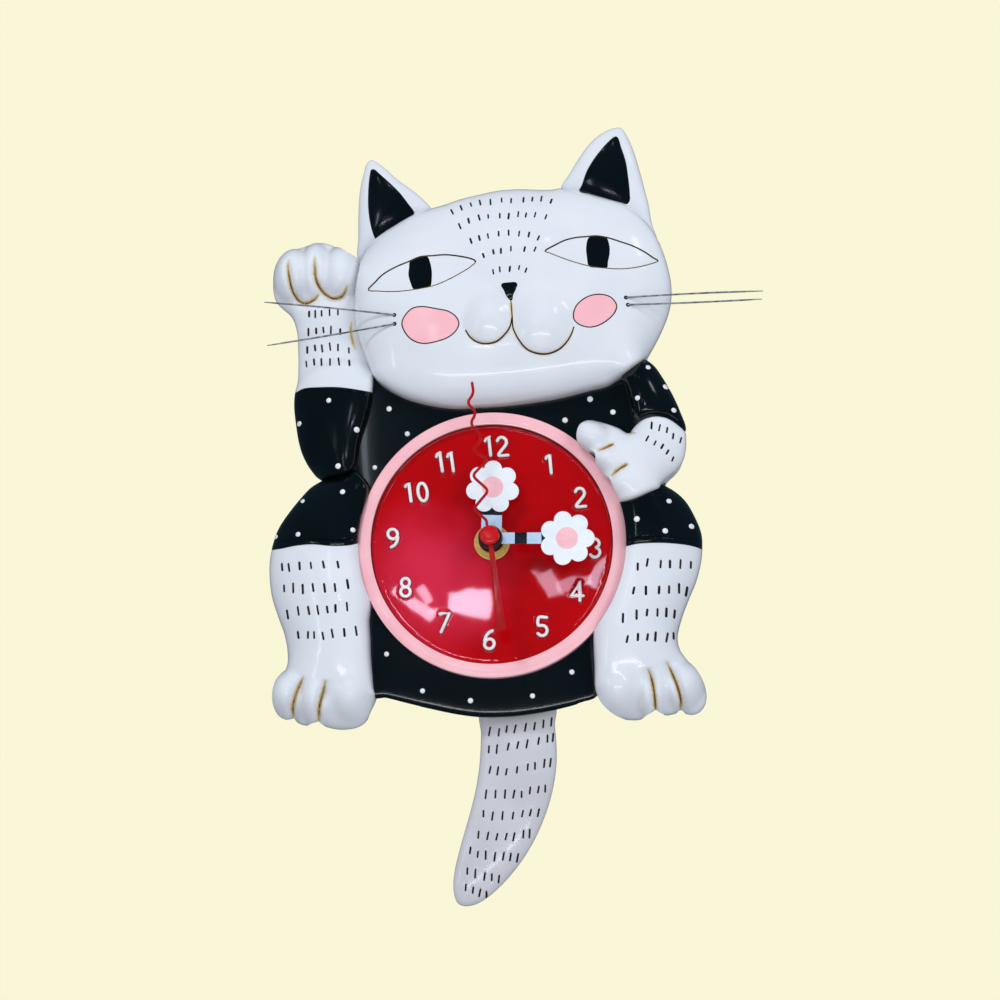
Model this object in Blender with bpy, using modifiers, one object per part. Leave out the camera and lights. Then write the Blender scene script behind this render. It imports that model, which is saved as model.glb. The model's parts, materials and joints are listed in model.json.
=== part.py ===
"""Cat tail clock: a moulded resin cat whose belly is the dial, with a quartz
movement behind it and a tail that swings as the pendulum.

World frame: metres, +Z up, +X to the right seen from the front, which faces -Y.
The wall is the plane y = 0. The origin lies on it, REST_Z above the hand arbor.
Pieces are drawn in millimetres from the arbor as (x, z) outlines with a height
in front of the wall: "back" and "front" are the smaller and larger heights.
"""
import math
from collections import namedtuple

import bpy
import bmesh
from mathutils import Matrix

# ---------------------------------------------------------------- scene setup
for old_object in list(bpy.data.objects):
    bpy.data.objects.remove(old_object, do_unlink=True)

PARTS = bpy.data.collections.new("cat_tail_clock")
WORK = bpy.data.collections.new("working_solids")
for collection in (PARTS, WORK):
    bpy.context.scene.collection.children.link(collection)

# ----------------------------------------------------------- shared dimensions
MM = 0.001
GAP = 0.3                      # running and assembly clearance
REST_Z = 64.0                  # height of the world origin above the arbor

# drawing axes (x, z, height) to world axes (x, -height, z)
TO_WORLD = Matrix(((1, 0, 0, 0), (0, 0, -1, 0), (0, 1, 0, 0), (0, 0, 0, 1)))

WELD = 1e-6                    # merge distances, metres
FINISH_WELD = 2e-6
TURNED_WELD = 1e-5

ARBOR = (0.0, 0.0)             # axis of the hands
BUSH_R = 4.0                   # fixing bushing of the movement
BUSH_FRONT = 31.0
HOUR_TUBE_R = 2.5
MINUTE_TUBE_R = 1.6
SECONDS_ARBOR_R = 0.6

PIVOT = (0.0, -38.0)           # pendulum pivot
PIVOT_PIN_R = 0.8
TILT = 5.6                     # swing of the pendulum towards +x, degrees

CASE_HALF_W = 28.0             # movement housing
CASE_TOP, CASE_BOTTOM = 26.0, -62.0
CASE_BACK, CASE_FRONT = 4.0, 20.2
CASE_WALL = 1.5
INNER_FRONT = CASE_FRONT - CASE_WALL   # inner face of the front case
COVER_FRONT = 6.0              # inner face of the rear cover
SOCKET_BACK = 5.2              # bottom of the arbor sockets in the rear cover
ARBOR_BACK = 5.5               # rear ends of the arbors, inside those sockets
ARBOR_FRONT = INNER_FRONT - GAP

# ------------------------------------------------------------------ materials
MATERIALS = {  # base colour, roughness, metallic
    "resin_white": ((0.83, 0.86, 0.90), 0.25, 0.0),
    "tail_white": ((0.80, 0.83, 0.87), 0.28, 0.0),
    "steel_wire": ((0.62, 0.62, 0.60), 0.25, 1.0),
    "hand_white": ((0.80, 0.88, 0.95), 0.35, 0.0),
    "hub_black": ((0.02, 0.02, 0.025), 0.35, 0.0),
    "red": ((0.75, 0.02, 0.02), 0.25, 0.0),
    "brass": ((0.80, 0.62, 0.30), 0.25, 1.0),
    "rubber": ((0.03, 0.03, 0.03), 0.85, 0.0),
    "movement_black": ((0.03, 0.03, 0.035), 0.5, 0.0),
    "battery": ((0.10, 0.22, 0.16), 0.35, 0.3),
    "contact": ((0.75, 0.75, 0.72), 0.3, 1.0),
    "board": ((0.04, 0.25, 0.10), 0.5, 0.0),
    "copper": ((0.72, 0.32, 0.14), 0.35, 1.0),
    "core": ((0.45, 0.45, 0.46), 0.4, 1.0),
    "gear_white": ((0.88, 0.87, 0.82), 0.45, 0.0),
    "lever_white": ((0.85, 0.85, 0.83), 0.5, 0.0),
    "magnet": ((0.30, 0.30, 0.32), 0.35, 1.0),
}


def get_material(name):
    found = bpy.data.materials.get(name)
    if found:
        return found
    colour, roughness, metallic = MATERIALS[name]
    made = bpy.data.materials.new(name)
    made.use_nodes = True
    shader = made.node_tree.nodes["Principled BSDF"]
    shader.inputs["Base Color"].default_value = (*colour, 1.0)
    shader.inputs["Roughness"].default_value = roughness
    shader.inputs["Metallic"].default_value = metallic
    made.diffuse_color = (*colour, 1.0)
    return made


# ------------------------------------------------------- outlines in the plane
def ellipse(centre, radius_x, radius_z, count):
    return [(centre[0] + radius_x * math.cos(2 * math.pi * i / count),
             centre[1] + radius_z * math.sin(2 * math.pi * i / count)) for i in range(count)]


def circle(centre, radius, count):
    return ellipse(centre, radius, radius, count)


def arc(centre_x, centre_z, radius_x, radius_z, first, last, steps):
    """Points from angle first to angle last, both in degrees and both included."""
    angles = [math.radians(first + (last - first) * i / steps) for i in range(steps + 1)]
    return [(centre_x + radius_x * math.cos(angle), centre_z + radius_z * math.sin(angle))
            for angle in angles]


def smooth_loop(points, cuts):
    """Closed Catmull-Rom outline through the points, each span cut into equal steps."""
    count = len(points)
    loop = []
    for i in range(count):
        span = [points[(i + j - 1) % count] for j in range(4)]
        for step in range(cuts):
            t = step / cuts
            loop.append(tuple(
                0.5 * (2 * start + (end - before) * t
                       + (2 * before - 5 * start + 4 * end - after) * t * t
                       + (3 * start - before - 3 * end + after) * t ** 3)
                for before, start, end, after in zip(*span)))
    return loop


def stroke(line, width, end_points=2):
    """Outline of an open pen stroke with rounded ends along (x, z) points."""
    half = width / 2
    last = len(line) - 1
    left, right = [], []
    for i, point in enumerate(line):
        before, after = line[max(i - 1, 0)], line[min(i + 1, last)]
        dx, dz = after[0] - before[0], after[1] - before[1]
        length = math.hypot(dx, dz)
        # widen at corners so that straight runs keep their full width
        grow = 1.0
        if 0 < i < last:
            run = (point[0] - before[0], point[1] - before[1])
            cosine = (run[0] * dx + run[1] * dz) / (math.hypot(*run) * length)
            grow = min(1.0 / max(abs(cosine), 0.5), 1.6)
        side = (-dz / length * half * grow, dx / length * half * grow)
        left.append((point[0] + side[0], point[1] + side[1]))
        right.append((point[0] - side[0], point[1] - side[1]))

    def round_end(tip, edge):
        first = math.atan2(edge[1] - tip[1], edge[0] - tip[0])
        angles = [first - math.pi * i / (end_points + 1) for i in range(1, end_points + 1)]
        return [(tip[0] + half * math.cos(angle), tip[1] + half * math.sin(angle))
                for angle in angles]

    return left + round_end(line[-1], left[-1]) + right[::-1] + round_end(line[0], right[0])


# ------------------------------------------------------------- solid builders
def work_object(data):
    solid = bpy.data.objects.new("solid", data)
    WORK.objects.link(solid)
    return solid


def to_object(shape, weld=WELD):
    """Working object from a bmesh, which is freed."""
    if weld:
        bmesh.ops.remove_doubles(shape, verts=shape.verts[:], dist=weld)
    bmesh.ops.recalc_face_normals(shape, faces=shape.faces[:])
    mesh = bpy.data.meshes.new("solid")
    shape.to_mesh(mesh)
    shape.free()
    return work_object(mesh)


def evaluated(solid):
    graph = bpy.context.evaluated_depsgraph_get()
    return bpy.data.meshes.new_from_object(solid.evaluated_get(graph))


def drop(solid):
    data = solid.data
    bpy.data.objects.remove(solid, do_unlink=True)
    if isinstance(data, bpy.types.Mesh):
        bpy.data.meshes.remove(data)
    else:
        bpy.data.curves.remove(data)


def bake(source, shift):
    """Replace a curve or modified object by a plain solid moved by shift (mm)."""
    mesh = evaluated(source)
    mesh.transform(Matrix.Translation([value * MM for value in shift]))
    drop(source)
    shape = bmesh.new()
    shape.from_mesh(mesh)
    bpy.data.meshes.remove(mesh)
    return to_object(shape)


def add_spline(curve, points, closed):
    spline = curve.splines.new('POLY')
    spline.points.add(len(points) - 1)
    for point, (x, z, height) in zip(spline.points, points):
        point.co = (x * MM, z * MM, height * MM, 1)
    spline.use_cyclic_u = closed


def flat(loops, back, front):
    """A plate with the given closed outlines (holes are further loops)."""
    curve = bpy.data.curves.new("outline", 'CURVE')
    curve.dimensions = '2D'
    curve.fill_mode = 'BOTH'
    curve.extrude = (front - back) / 2 * MM
    for loop in loops:
        add_spline(curve, [(x, z, 0) for x, z in loop], True)
    return bake(work_object(curve), (0, 0, (back + front) / 2))


def wire(points, radius, resolution=2, closed=False):
    """A round wire through (x, z, height) points, with closed ends or as a ring."""
    curve = bpy.data.curves.new("wire", 'CURVE')
    curve.dimensions = '3D'
    curve.bevel_depth = radius * MM
    curve.bevel_resolution = resolution
    curve.use_fill_caps = True
    add_spline(curve, points, closed)
    return bake(work_object(curve), (0, 0, 0))


def rod(middle, length, radius, segments, turn):
    shape = bmesh.new()
    place = Matrix.Translation([value * MM for value in middle]) @ turn
    bmesh.ops.create_cone(shape, cap_ends=True, segments=segments, radius1=radius * MM,
                          radius2=radius * MM, depth=length * MM, matrix=place)
    return to_object(shape)


def cylinder(centre, back, front, radius, segments):
    """Cylinder along the arbor direction."""
    return rod((*centre, (back + front) / 2), front - back, radius, segments, Matrix())


def cylinder_x(left, right, z, height, radius, segments):
    return rod(((left + right) / 2, z, height), right - left, radius, segments,
               Matrix.Rotation(math.pi / 2, 4, 'Y'))


def cylinder_z(x, bottom, top, height, radius, segments):
    return rod((x, (bottom + top) / 2, height), top - bottom, radius, segments,
               Matrix.Rotation(math.pi / 2, 4, 'X'))


def box(left, right, bottom, top, back, front):
    spans = ((left, right), (bottom, top), (back, front))
    shape = bmesh.new()
    bmesh.ops.create_cube(shape, size=1.0)
    bmesh.ops.scale(shape, vec=[(high - low) * MM for low, high in spans], verts=shape.verts[:])
    bmesh.ops.translate(shape, vec=[(low + high) / 2 * MM for low, high in spans],
                        verts=shape.verts[:])
    return to_object(shape)


def ball(centre, height, radii, segments, rings, spin=0.0):
    """Ellipsoid turned by spin degrees in the plane of the wall."""
    shape = bmesh.new()
    bmesh.ops.create_uvsphere(shape, u_segments=segments, v_segments=rings, radius=1.0)
    bmesh.ops.scale(shape, vec=[radius * MM for radius in radii], verts=shape.verts[:])
    bmesh.ops.rotate(shape, cent=(0, 0, 0), matrix=Matrix.Rotation(math.radians(spin), 3, 'Z'),
                     verts=shape.verts[:])
    bmesh.ops.translate(shape, vec=(centre[0] * MM, centre[1] * MM, height * MM),
                        verts=shape.verts[:])
    return to_object(shape)


def turned(profile, centre, segments):
    """A closed profile of (radius, height) points revolved about the arbor direction."""
    shape = bmesh.new()
    verts = [shape.verts.new((radius * MM, 0, height * MM)) for radius, height in profile]
    for start, end in zip(verts, verts[1:] + verts[:1]):
        on_axis = start.co.x < 1e-9 and end.co.x < 1e-9
        if not on_axis:
            shape.edges.new((start, end))
    mesh = bpy.data.meshes.new("profile")
    shape.to_mesh(mesh)
    shape.free()
    solid = work_object(mesh)
    screw = solid.modifiers.new("turn", 'SCREW')
    screw.axis = 'Z'
    screw.steps = screw.render_steps = segments
    screw.use_merge_vertices = True
    screw.merge_threshold = TURNED_WELD
    return bake(solid, (*centre, 0))


def add_ring(shape, loop, height):
    return [shape.verts.new((x * MM, z * MM, height * MM)) for x, z in loop]


def bridge(shape, rings):
    """Faces between successive rings of vertices."""
    count = len(rings[0])
    for lower, upper in zip(rings, rings[1:]):
        for i in range(count):
            j = (i + 1) % count
            shape.faces.new((lower[i], lower[j], upper[j], upper[i]))


def puff(points, back, wall, top, centre, rings=3, cuts=1, crown=1.0):
    """A moulded limb: straight side walls, then a rounded crown lofted inwards."""
    loop = smooth_loop(points, cuts)
    levels = [(1.0, back)]         # scale about the centre, height
    for j in range(rings):
        angle = math.radians(90.0 * j / rings)
        levels.append((math.cos(angle) ** crown, wall + (top - wall) * math.sin(angle)))
    shape = bmesh.new()
    circles = []
    for scale, height in levels:
        scaled = [(centre[0] + (x - centre[0]) * scale, centre[1] + (z - centre[1]) * scale)
                  for x, z in loop]
        circles.append(add_ring(shape, scaled, height))
    bridge(shape, circles)
    apex = shape.verts.new((centre[0] * MM, centre[1] * MM, top * MM))
    last = circles[-1]
    for i in range(len(last)):
        shape.faces.new((last[i], last[(i + 1) % len(last)], apex))
    shape.faces.new(circles[0])
    return to_object(shape)


def combine(base, tools, operation='UNION', self_crossing=False):
    """Apply each tool to the base in turn, using it up."""
    for tool in tools if isinstance(tools, (list, tuple)) else [tools]:
        boolean = base.modifiers.new("join", 'BOOLEAN')
        boolean.operation = operation
        boolean.solver = 'EXACT'
        boolean.use_self = self_crossing
        boolean.object = tool
        result = evaluated(base)
        base.modifiers.clear()
        old = base.data
        base.data = result
        bpy.data.meshes.remove(old)
        drop(tool)
    return base


def cut(base, tools):
    return combine(base, tools, 'DIFFERENCE')


def gather(solids):
    """One unwelded object out of several solids."""
    shape = bmesh.new()
    for solid in solids:
        shape.from_mesh(solid.data)
    for solid in solids:
        drop(solid)
    return to_object(shape, weld=None)


def turn_about(solid, centre, degrees):
    """Turn counter-clockwise, seen from the front."""
    move = Matrix.Translation((centre[0] * MM, centre[1] * MM, 0))
    turn = Matrix.Rotation(math.radians(degrees), 4, 'Z')
    solid.data.transform(move @ turn @ move.inverted())
    return solid


def finish(solid, name, material_name, origin=(0.0, 0.0, 0.0), sharp_angle=35.0):
    """Name the piece, stand it up in the world frame and set its (x, z, height) origin."""
    shape = bmesh.new()
    shape.from_mesh(solid.data)
    bmesh.ops.remove_doubles(shape, verts=shape.verts[:], dist=FINISH_WELD)
    bmesh.ops.dissolve_degenerate(shape, edges=shape.edges[:], dist=WELD)
    bmesh.ops.triangulate(shape, faces=shape.faces[:])
    bmesh.ops.dissolve_degenerate(shape, edges=shape.edges[:], dist=WELD)
    bmesh.ops.recalc_face_normals(shape, faces=shape.faces[:])
    mesh = bpy.data.meshes.new(name)
    shape.to_mesh(mesh)
    shape.free()
    x, z, height = origin
    mesh.transform(TO_WORLD @ Matrix.Translation((-x * MM, -z * MM, -height * MM)))
    mesh.shade_smooth()
    mesh.set_sharp_from_angle(angle=math.radians(sharp_angle))
    mesh.materials.append(get_material(material_name))
    piece = bpy.data.objects.new(name, mesh)
    piece.location = (x * MM, -height * MM, (z - REST_Z) * MM)
    PARTS.objects.link(piece)
    drop(solid)


# --------------------------------------------------------------- resin figure
# Outlines of the limbs, (x, z) points; left and right are as seen from the front.
HEAD = [
    (-28, 154), (-15, 158), (3, 161.5), (26, 162), (44, 159), (59, 154.5), (66, 149.5),
    (71, 142.5), (75.5, 133.5), (78.5, 122), (79.5, 112), (78, 102), (74.5, 95), (67.5, 82.5),
    (61, 77), (50.5, 71), (35, 67.5), (18, 64), (0, 62.5), (-16, 62), (-27, 63.5), (-39, 67),
    (-52.5, 75), (-57, 81), (-61, 89), (-63.5, 98), (-64, 112), (-62, 124), (-59, 133),
    (-52, 140), (-36, 151)]
EAR_LEFT = [
    (-61.5, 130), (-61.5, 150), (-60, 167), (-57.5, 176.5), (-55, 178), (-52, 176), (-44, 170),
    (-36, 163), (-28, 155), (-38, 140)]
EAR_RIGHT = [
    (30, 163), (36, 174.5), (42, 183), (47, 188), (52, 190.5), (57, 191.3), (60, 187),
    (62.5, 181), (68, 160), (75, 134), (60, 135), (42, 150)]
ARM_LEFT = [
    (-88, 103), (-87.5, 82), (-89, 64), (-88, 55.5), (-85, 42), (-81.5, 35), (-76, 30.5),
    (-68, 29.5), (-59, 31), (-51, 40), (-49.5, 54), (-51.5, 78), (-55.5, 90), (-60, 99),
    (-66, 105), (-74, 107.5), (-83, 107)]
PAW_LEFT = [
    (-61, 130.5), (-65, 132), (-73, 137.5), (-78, 138.5), (-85, 136.5), (-92, 134), (-97, 128),
    (-98.7, 121), (-98.5, 115), (-96.8, 111), (-91, 105.5), (-88, 97.5), (-82, 94), (-73, 93),
    (-64, 95), (-59.5, 103), (-58, 117), (-59, 126)]
SLEEVE_RIGHT = [
    (56, 88), (64.5, 85), (72, 79), (80, 66), (85.4, 50.5), (83, 46), (62.5, 50), (59, 66),
    (55, 74)]
PAW_RIGHT = [
    (85.6, 45), (84.3, 36), (81.5, 31), (74.5, 25), (64, 18), (57, 16.6), (54, 20.5),
    (51.5, 27), (47.5, 31), (45.7, 37.5), (38, 43.5), (37.7, 47), (39, 50.7), (42, 53),
    (51, 52), (59.5, 48.5), (64.5, 52), (73, 54.3), (82, 51.5)]
TORSO = [
    (-60, 34), (-58, 20), (-54, -6), (-51.5, -66.5), (-37, -70), (-25.5, -73), (-4.5, -76.7),
    (7, -76.6), (18, -75.4), (38.5, -71), (45, -67.5), (45, -43), (51.5, -25), (69, -7.5),
    (75.5, 19), (75.7, 46), (69.5, 73), (48, 83), (3, 88), (-32, 84), (-50, 76), (-58, 57)]
LEG_LEFT = [
    (-68.5, 31.7), (-76, 29.5), (-84, 24), (-91.5, 14), (-95.5, 7.5), (-98, -0.5), (-99, -8),
    (-98, -22.5), (-92.5, -38.5), (-91, -54), (-84, -64), (-72, -67), (-59, -65), (-54, -57),
    (-54.5, -40), (-54.5, -25), (-57, -5), (-56.5, 13), (-54.5, 26), (-60, 31)]
FOOT_LEFT = [
    (-91.5, -45.5), (-91.5, -52), (-96.5, -59), (-98.2, -65.5), (-97.5, -71), (-94.5, -75),
    (-88.5, -76), (-82.5, -78.6), (-74.5, -79.5), (-68, -80.4), (-61, -79.5), (-56, -75.5),
    (-52, -64.5), (-54.5, -47), (-64, -42.5), (-82, -42)]
LEG_RIGHT = [
    (68.5, 27.6), (79.5, 24), (85, 19), (89.5, 11.3), (92, 4.5), (91.6, -8), (89.5, -16.5),
    (83, -33), (81, -41.5), (81, -57.5), (73, -66), (60, -68), (49.5, -64), (45, -54.5),
    (44.5, -43), (49, -29), (54, -15), (56.5, -2), (57, 14), (60.5, 25)]
FOOT_RIGHT = [
    (81, -41), (82, -46), (90, -57), (93, -63), (93.2, -68.5), (91.5, -73), (87.5, -75),
    (77, -75.2), (68, -75.8), (62, -77), (55, -76), (50, -72.5), (46, -68), (44.5, -63.5),
    (44.5, -45.5), (51, -41), (68, -39)]

MOULD_BACK = -1.0              # limbs start behind the wall and are ground flat
CUT_BACK = -5.0                # rear end of the cutters
HEAD_C = (8, 112)
HEAD_WALL, HEAD_TOP = 17.0, 35.5
HEAD_HOLLOW = (50, 34)         # half width and half height of the hollow
HEAD_HOLLOW_FRONT = 18.0
TORSO_C = (3, 5)
TORSO_WALL, TORSO_TOP = 19.0, 24.0
PAW_RIGHT_C, PAW_RIGHT_TOP = (60, 40), 38.0
PAW_OVER_BACK, PAW_OVER_WALL = 25.5, 30.0   # part of the right paw over the dial

EARS = [  # outline, wall height, top height, centre of the crown
    (EAR_LEFT, 10.0, 15.0, (-48, 155)),
    (EAR_RIGHT, 10.0, 15.0, (56, 160)),
]
LIMBS = [  # same columns
    (ARM_LEFT, 14.0, 24.0, (-70, 68)),
    (PAW_LEFT, 15.0, 27.0, (-79, 116)),
    (SLEEVE_RIGHT, 20.0, 31.0, (69, 68)),
    (PAW_RIGHT, 27.0, PAW_RIGHT_TOP, PAW_RIGHT_C),
    (LEG_LEFT, 17.0, 31.0, (-77, -14)),
    (LEG_RIGHT, 17.0, 31.0, (71, -14)),
    (FOOT_LEFT, 15.0, 30.0, (-75, -62)),
    (FOOT_RIGHT, 15.0, 30.0, (67, -60)),
]
FACE = [  # centre, height, radii (x, z, height), segments, rings, spin
    ((-3.0, 101.0), 31.0, (18.0, 13.0, 9.5), 14, 8, 8),    # left side of the muzzle
    ((25.0, 99.5), 30.5, (18.0, 13.0, 9.5), 14, 8, 10),    # right side of the muzzle
    ((8.0, 112.0), 37.0, (4.2, 4.0, 4.0), 8, 6, 0),        # nose
    ((6.0, 80.0), 28.0, (24.0, 14.0, 9.0), 12, 8, 0),      # swelling below the muzzle
]
TOES = [  # height, radii, (x, z, spin) of each toe
    (24.0, (7.6, 9.6, 9.0), ((-88.5, -65.5, 4), (-76, -68.5, 0), (-62, -67.5, -4),
                             (54, -66.5, 4), (69, -66, 0), (84, -65.5, -6))),      # feet
    (20.0, (6.2, 9.5, 8.2), ((-92.5, 120.0, 0), (-82.5, 125.0, 0),
                             (-70.5, 125.5, 0))),                                  # left paw
    (32.0, (7.4, 6.0, 7.4), ((45.5, 47.0, -30), (51.5, 37.0, -30),
                             (58.0, 26.0, -30))),                                  # right paw
]

DIAL_C = (0.2, -1.2)           # centre of the moulded dial ring
DIAL_R = 59.1                  # outside of the raised ring
FLOOR_R = 53.2                 # recessed dial floor
FLOOR_FRONT = 26.0
RING_FRONT = 29.2
RING_BACK = 15.0
DIAL_SEGMENTS = 56
DIAL_INNER = 21.5              # rear face of the dial wall
RECESS_BACK, RECESS_FRONT = 25.0, 53.0   # cutter that clears the recess
POCKET_R = 50.0                # round pocket for the movement

NUMERAL_R = 0.75               # half the stroke of the raised figures
NUMERAL_CIRCLE_R = 43.2
NUMERAL_TURN = 2.5             # clockwise turn of the whole ring of figures, degrees
NUMERAL_WIDEN = 1.02
NUMERAL_LIFT = 0.1             # stroke centre line in front of the dial floor
DIGIT_PITCH, ELEVEN_PITCH = 5.8, 4.8

DIGITS = {  # centre lines of the rounded figures, (line, closed)
    "0": [(arc(0, 0, 1.9, 3.7, 0, 324, 9), True)],
    "1": [([(-1.2, 2.3), (0.4, 3.7), (0.4, -3.7)], False)],
    "2": [(arc(0, 1.8, 1.9, 1.9, 165, -35, 5) + [(-1.9, -3.7), (2.0, -3.7)], False)],
    "3": [(arc(-0.2, 1.9, 1.8, 1.8, 150, -70, 5), False),
          (arc(-0.2, -1.7, 2.1, 2.0, 75, -150, 6), False)],
    "4": [([(0.9, -3.7), (0.9, 3.7), (-2.1, -1.5), (2.2, -1.5)], False)],
    "5": [([(1.8, 3.7), (-1.4, 3.7), (-1.6, 0.5)] + arc(-0.1, -1.6, 2.1, 2.1, 100, -145, 6),
           False)],
    "6": [(arc(0, -1.7, 2.0, 2.0, 0, 320, 8), True),
          (arc(1.6, -1.0, 3.7, 4.7, 172, 100, 3), False)],
    "7": [([(-2.0, 3.7), (2.0, 3.7), (-0.6, -3.7)], False)],
    "8": [(arc(0, 1.9, 1.7, 1.8, 0, 320, 8), True),
          (arc(0, -1.8, 2.0, 1.9, 0, 320, 8), True)],
    "9": [(arc(0, 1.7, 2.0, 2.0, 0, 320, 8), True),
          (arc(-1.6, 1.0, 3.7, 4.7, -8, -80, 3), False)],
}

WHISKERS = {  # root in the cheek, tip: (x, z, height)
    "whisker_left_upper": ((-43.2, 101.9, 31.0), (-100.4, 107.2, 36.0)),
    "whisker_left_lower": ((-43.1, 97.9, 31.0), (-98.9, 87.6, 36.0)),
    "whisker_right_upper": ((59.3, 109.4, 29.0), (119.9, 110.4, 32.0)),
    "whisker_right_lower": ((60.3, 105.7, 29.0), (119.4, 106.4, 33.5)),
}
WHISKER_R = 0.4
WHISKER_SOCKET_R = 0.85
# bend at the root: distance outwards, share of the rise to the tip, distance forwards
WHISKER_BEND = [(0, 0, -8.0), (0, 0, -1.0), (0, 0, 1.0), (0.8, 0.01, 2.6), (2.4, 0.04, 3.4)]
WHISKER_BOW = 1.6              # upward bow of the long run
WHISKER_STEPS = 5


def dial_numerals():
    """Raised figures one to twelve: all first strokes, then all second strokes."""
    strokes = ([], [])
    for hour in range(1, 13):
        angle = math.radians(90 - 30 * hour - NUMERAL_TURN)
        centre_x = NUMERAL_CIRCLE_R * math.cos(angle)
        centre_z = NUMERAL_CIRCLE_R * math.sin(angle)
        text = str(hour)
        pitch = ELEVEN_PITCH if text == "11" else DIGIT_PITCH
        for i, digit in enumerate(text):
            middle = centre_x + (i - (len(text) - 1) / 2) * pitch
            for group, (line, closed) in zip(strokes, DIGITS[digit]):
                moved = [(middle + x * NUMERAL_WIDEN, centre_z + z, FLOOR_FRONT + NUMERAL_LIFT)
                         for x, z in line]
                group.append(wire(moved, NUMERAL_R, 0, closed))
    return [gather(group) for group in strokes]


def mould_figure():
    """Solid cat before the dial is formed."""
    figure = puff(HEAD, MOULD_BACK, HEAD_WALL, HEAD_TOP, HEAD_C, rings=5, cuts=2, crown=0.8)
    limbs = [puff(outline, MOULD_BACK, *shape) for outline, *shape in EARS]
    limbs.append(puff(TORSO, MOULD_BACK, TORSO_WALL, TORSO_TOP, TORSO_C, crown=0.3))
    limbs += [ball(*swelling) for swelling in FACE]
    limbs += [puff(outline, MOULD_BACK, *shape) for outline, *shape in LIMBS]
    for height, radii, toes in TOES:
        limbs += [ball((x, z), height, radii, 10, 6, spin) for x, z, spin in toes]
    return combine(figure, limbs)


def dial_ring():
    """Raised ring round the recessed floor."""
    return turned([(0, RING_BACK), (DIAL_R, RING_BACK), (DIAL_R, RING_FRONT - 2.0),
                   (DIAL_R - 1.8, RING_FRONT - 0.3), (DIAL_R - 3.6, RING_FRONT),
                   (FLOOR_R, RING_FRONT - 1.2), (FLOOR_R, FLOOR_FRONT), (0, FLOOR_FRONT)],
                  DIAL_C, DIAL_SEGMENTS)


def build_case():
    case = mould_figure()
    # limbs reach over the dial, so the recess is cleared before the ring goes in
    cut(case, cylinder(DIAL_C, RECESS_BACK, RECESS_FRONT, FLOOR_R + 0.05, DIAL_SEGMENTS))
    combine(case, dial_ring())
    combine(case, puff(PAW_RIGHT, PAW_OVER_BACK, PAW_OVER_WALL, PAW_RIGHT_TOP, PAW_RIGHT_C))
    combine(case, dial_numerals(), self_crossing=True)
    # back ground flat after moulding
    cut(case, box(-150.0, 150.0, -120.0, 220.0, -8.0, 0.0))
    cut(case, [
        # movement pocket and its slot through the bottom edge
        cylinder(ARBOR, CUT_BACK, DIAL_INNER, POCKET_R, 48),
        box(-32.0, 37.0, -95.0, 0.0, CUT_BACK, DIAL_INNER),
        # hollow head
        flat([ellipse(HEAD_C, *HEAD_HOLLOW, 32)], CUT_BACK, HEAD_HOLLOW_FRONT),
        # bushing hole
        cylinder(ARBOR, DIAL_INNER - 1.0, FLOOR_FRONT + 1.0, BUSH_R + GAP, 24),
    ])
    for root, _ in WHISKERS.values():
        cut(case, cylinder(root[:2], 20.0, 40.0, WHISKER_SOCKET_R, 10))
    finish(case, "resin_case", "resin_white", sharp_angle=32)


def build_whisker(name, root, tip):
    """Steel wire set in its socket, leaving forwards and sweeping out sideways."""
    x, z, height = root
    run, rise = tip[0] - x, tip[1] - z
    side = 1 if run > 0 else -1
    points = [(x + side * outwards, z + rise * share, height + forwards)
              for outwards, share, forwards in WHISKER_BEND]
    lift = WHISKER_BEND[-1][2]
    for i in range(1, WHISKER_STEPS + 1):
        t = 0.05 + 0.95 * i / WHISKER_STEPS
        points.append((x + run * t, z + rise * t + WHISKER_BOW * math.sin(math.pi * t),
                       height + lift + (tip[2] - height - lift) * t))
    finish(wire(points, WHISKER_R, 1), name, "steel_wire", root, sharp_angle=60)


# ------------------------------------------------------------- hands and stack
HOUR_ANGLE = 1.6               # clockwise from twelve, degrees
MINUTE_ANGLE = 90.5
FLOWER_R = 11.8
PETALS = 7

ZIGZAG = [  # (x, z) centre line of the seconds hand, from the hub to its tip
    (0.0, 0.0), (-0.9, 4.1), (-1.4, 6.8), (-7.2, 11.7), (-0.4, 19.8), (-7.6, 26.5),
    (-0.9, 33.7), (-7.5, 37.6), (-2.9, 43.8), (-8.8, 49.6), (-5.6, 54.6), (-10.1, 59.0),
    (-7.0, 62.9), (-7.7, 67.8)]
ZIGZAG_W = 1.3
SECONDS_BACK, SECONDS_FRONT = 44.6, 45.2
COUNTERWEIGHT = [(-0.9, 2.0), (0.9, 2.0), (7.4, -41.2), (3.2, -42.2)]   # (x, z)

CAP_PROFILE = [(0, 45.5), (4.7, 45.5), (4.7, 46.6), (4.2, 47.3), (3.2, 47.5), (0, 47.5)]

COLLARS = [  # name, material, back, front, radius, segments, bore, bore segments
    ("minute_hand_nut", "hub_black", 38.8, 42.0, 5.3, 28, MINUTE_TUBE_R + GAP, 20),
    ("fixing_nut", "brass", 27.4, 30.2, 6.6, 6, BUSH_R + GAP, 24),
    ("fixing_washer", "brass", 26.3, 27.1, 7.9, 36, BUSH_R + GAP, 24),
    ("rubber_gasket", "rubber", 20.5, 21.2, 9.0, 32, BUSH_R + GAP, 24),
]


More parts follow.
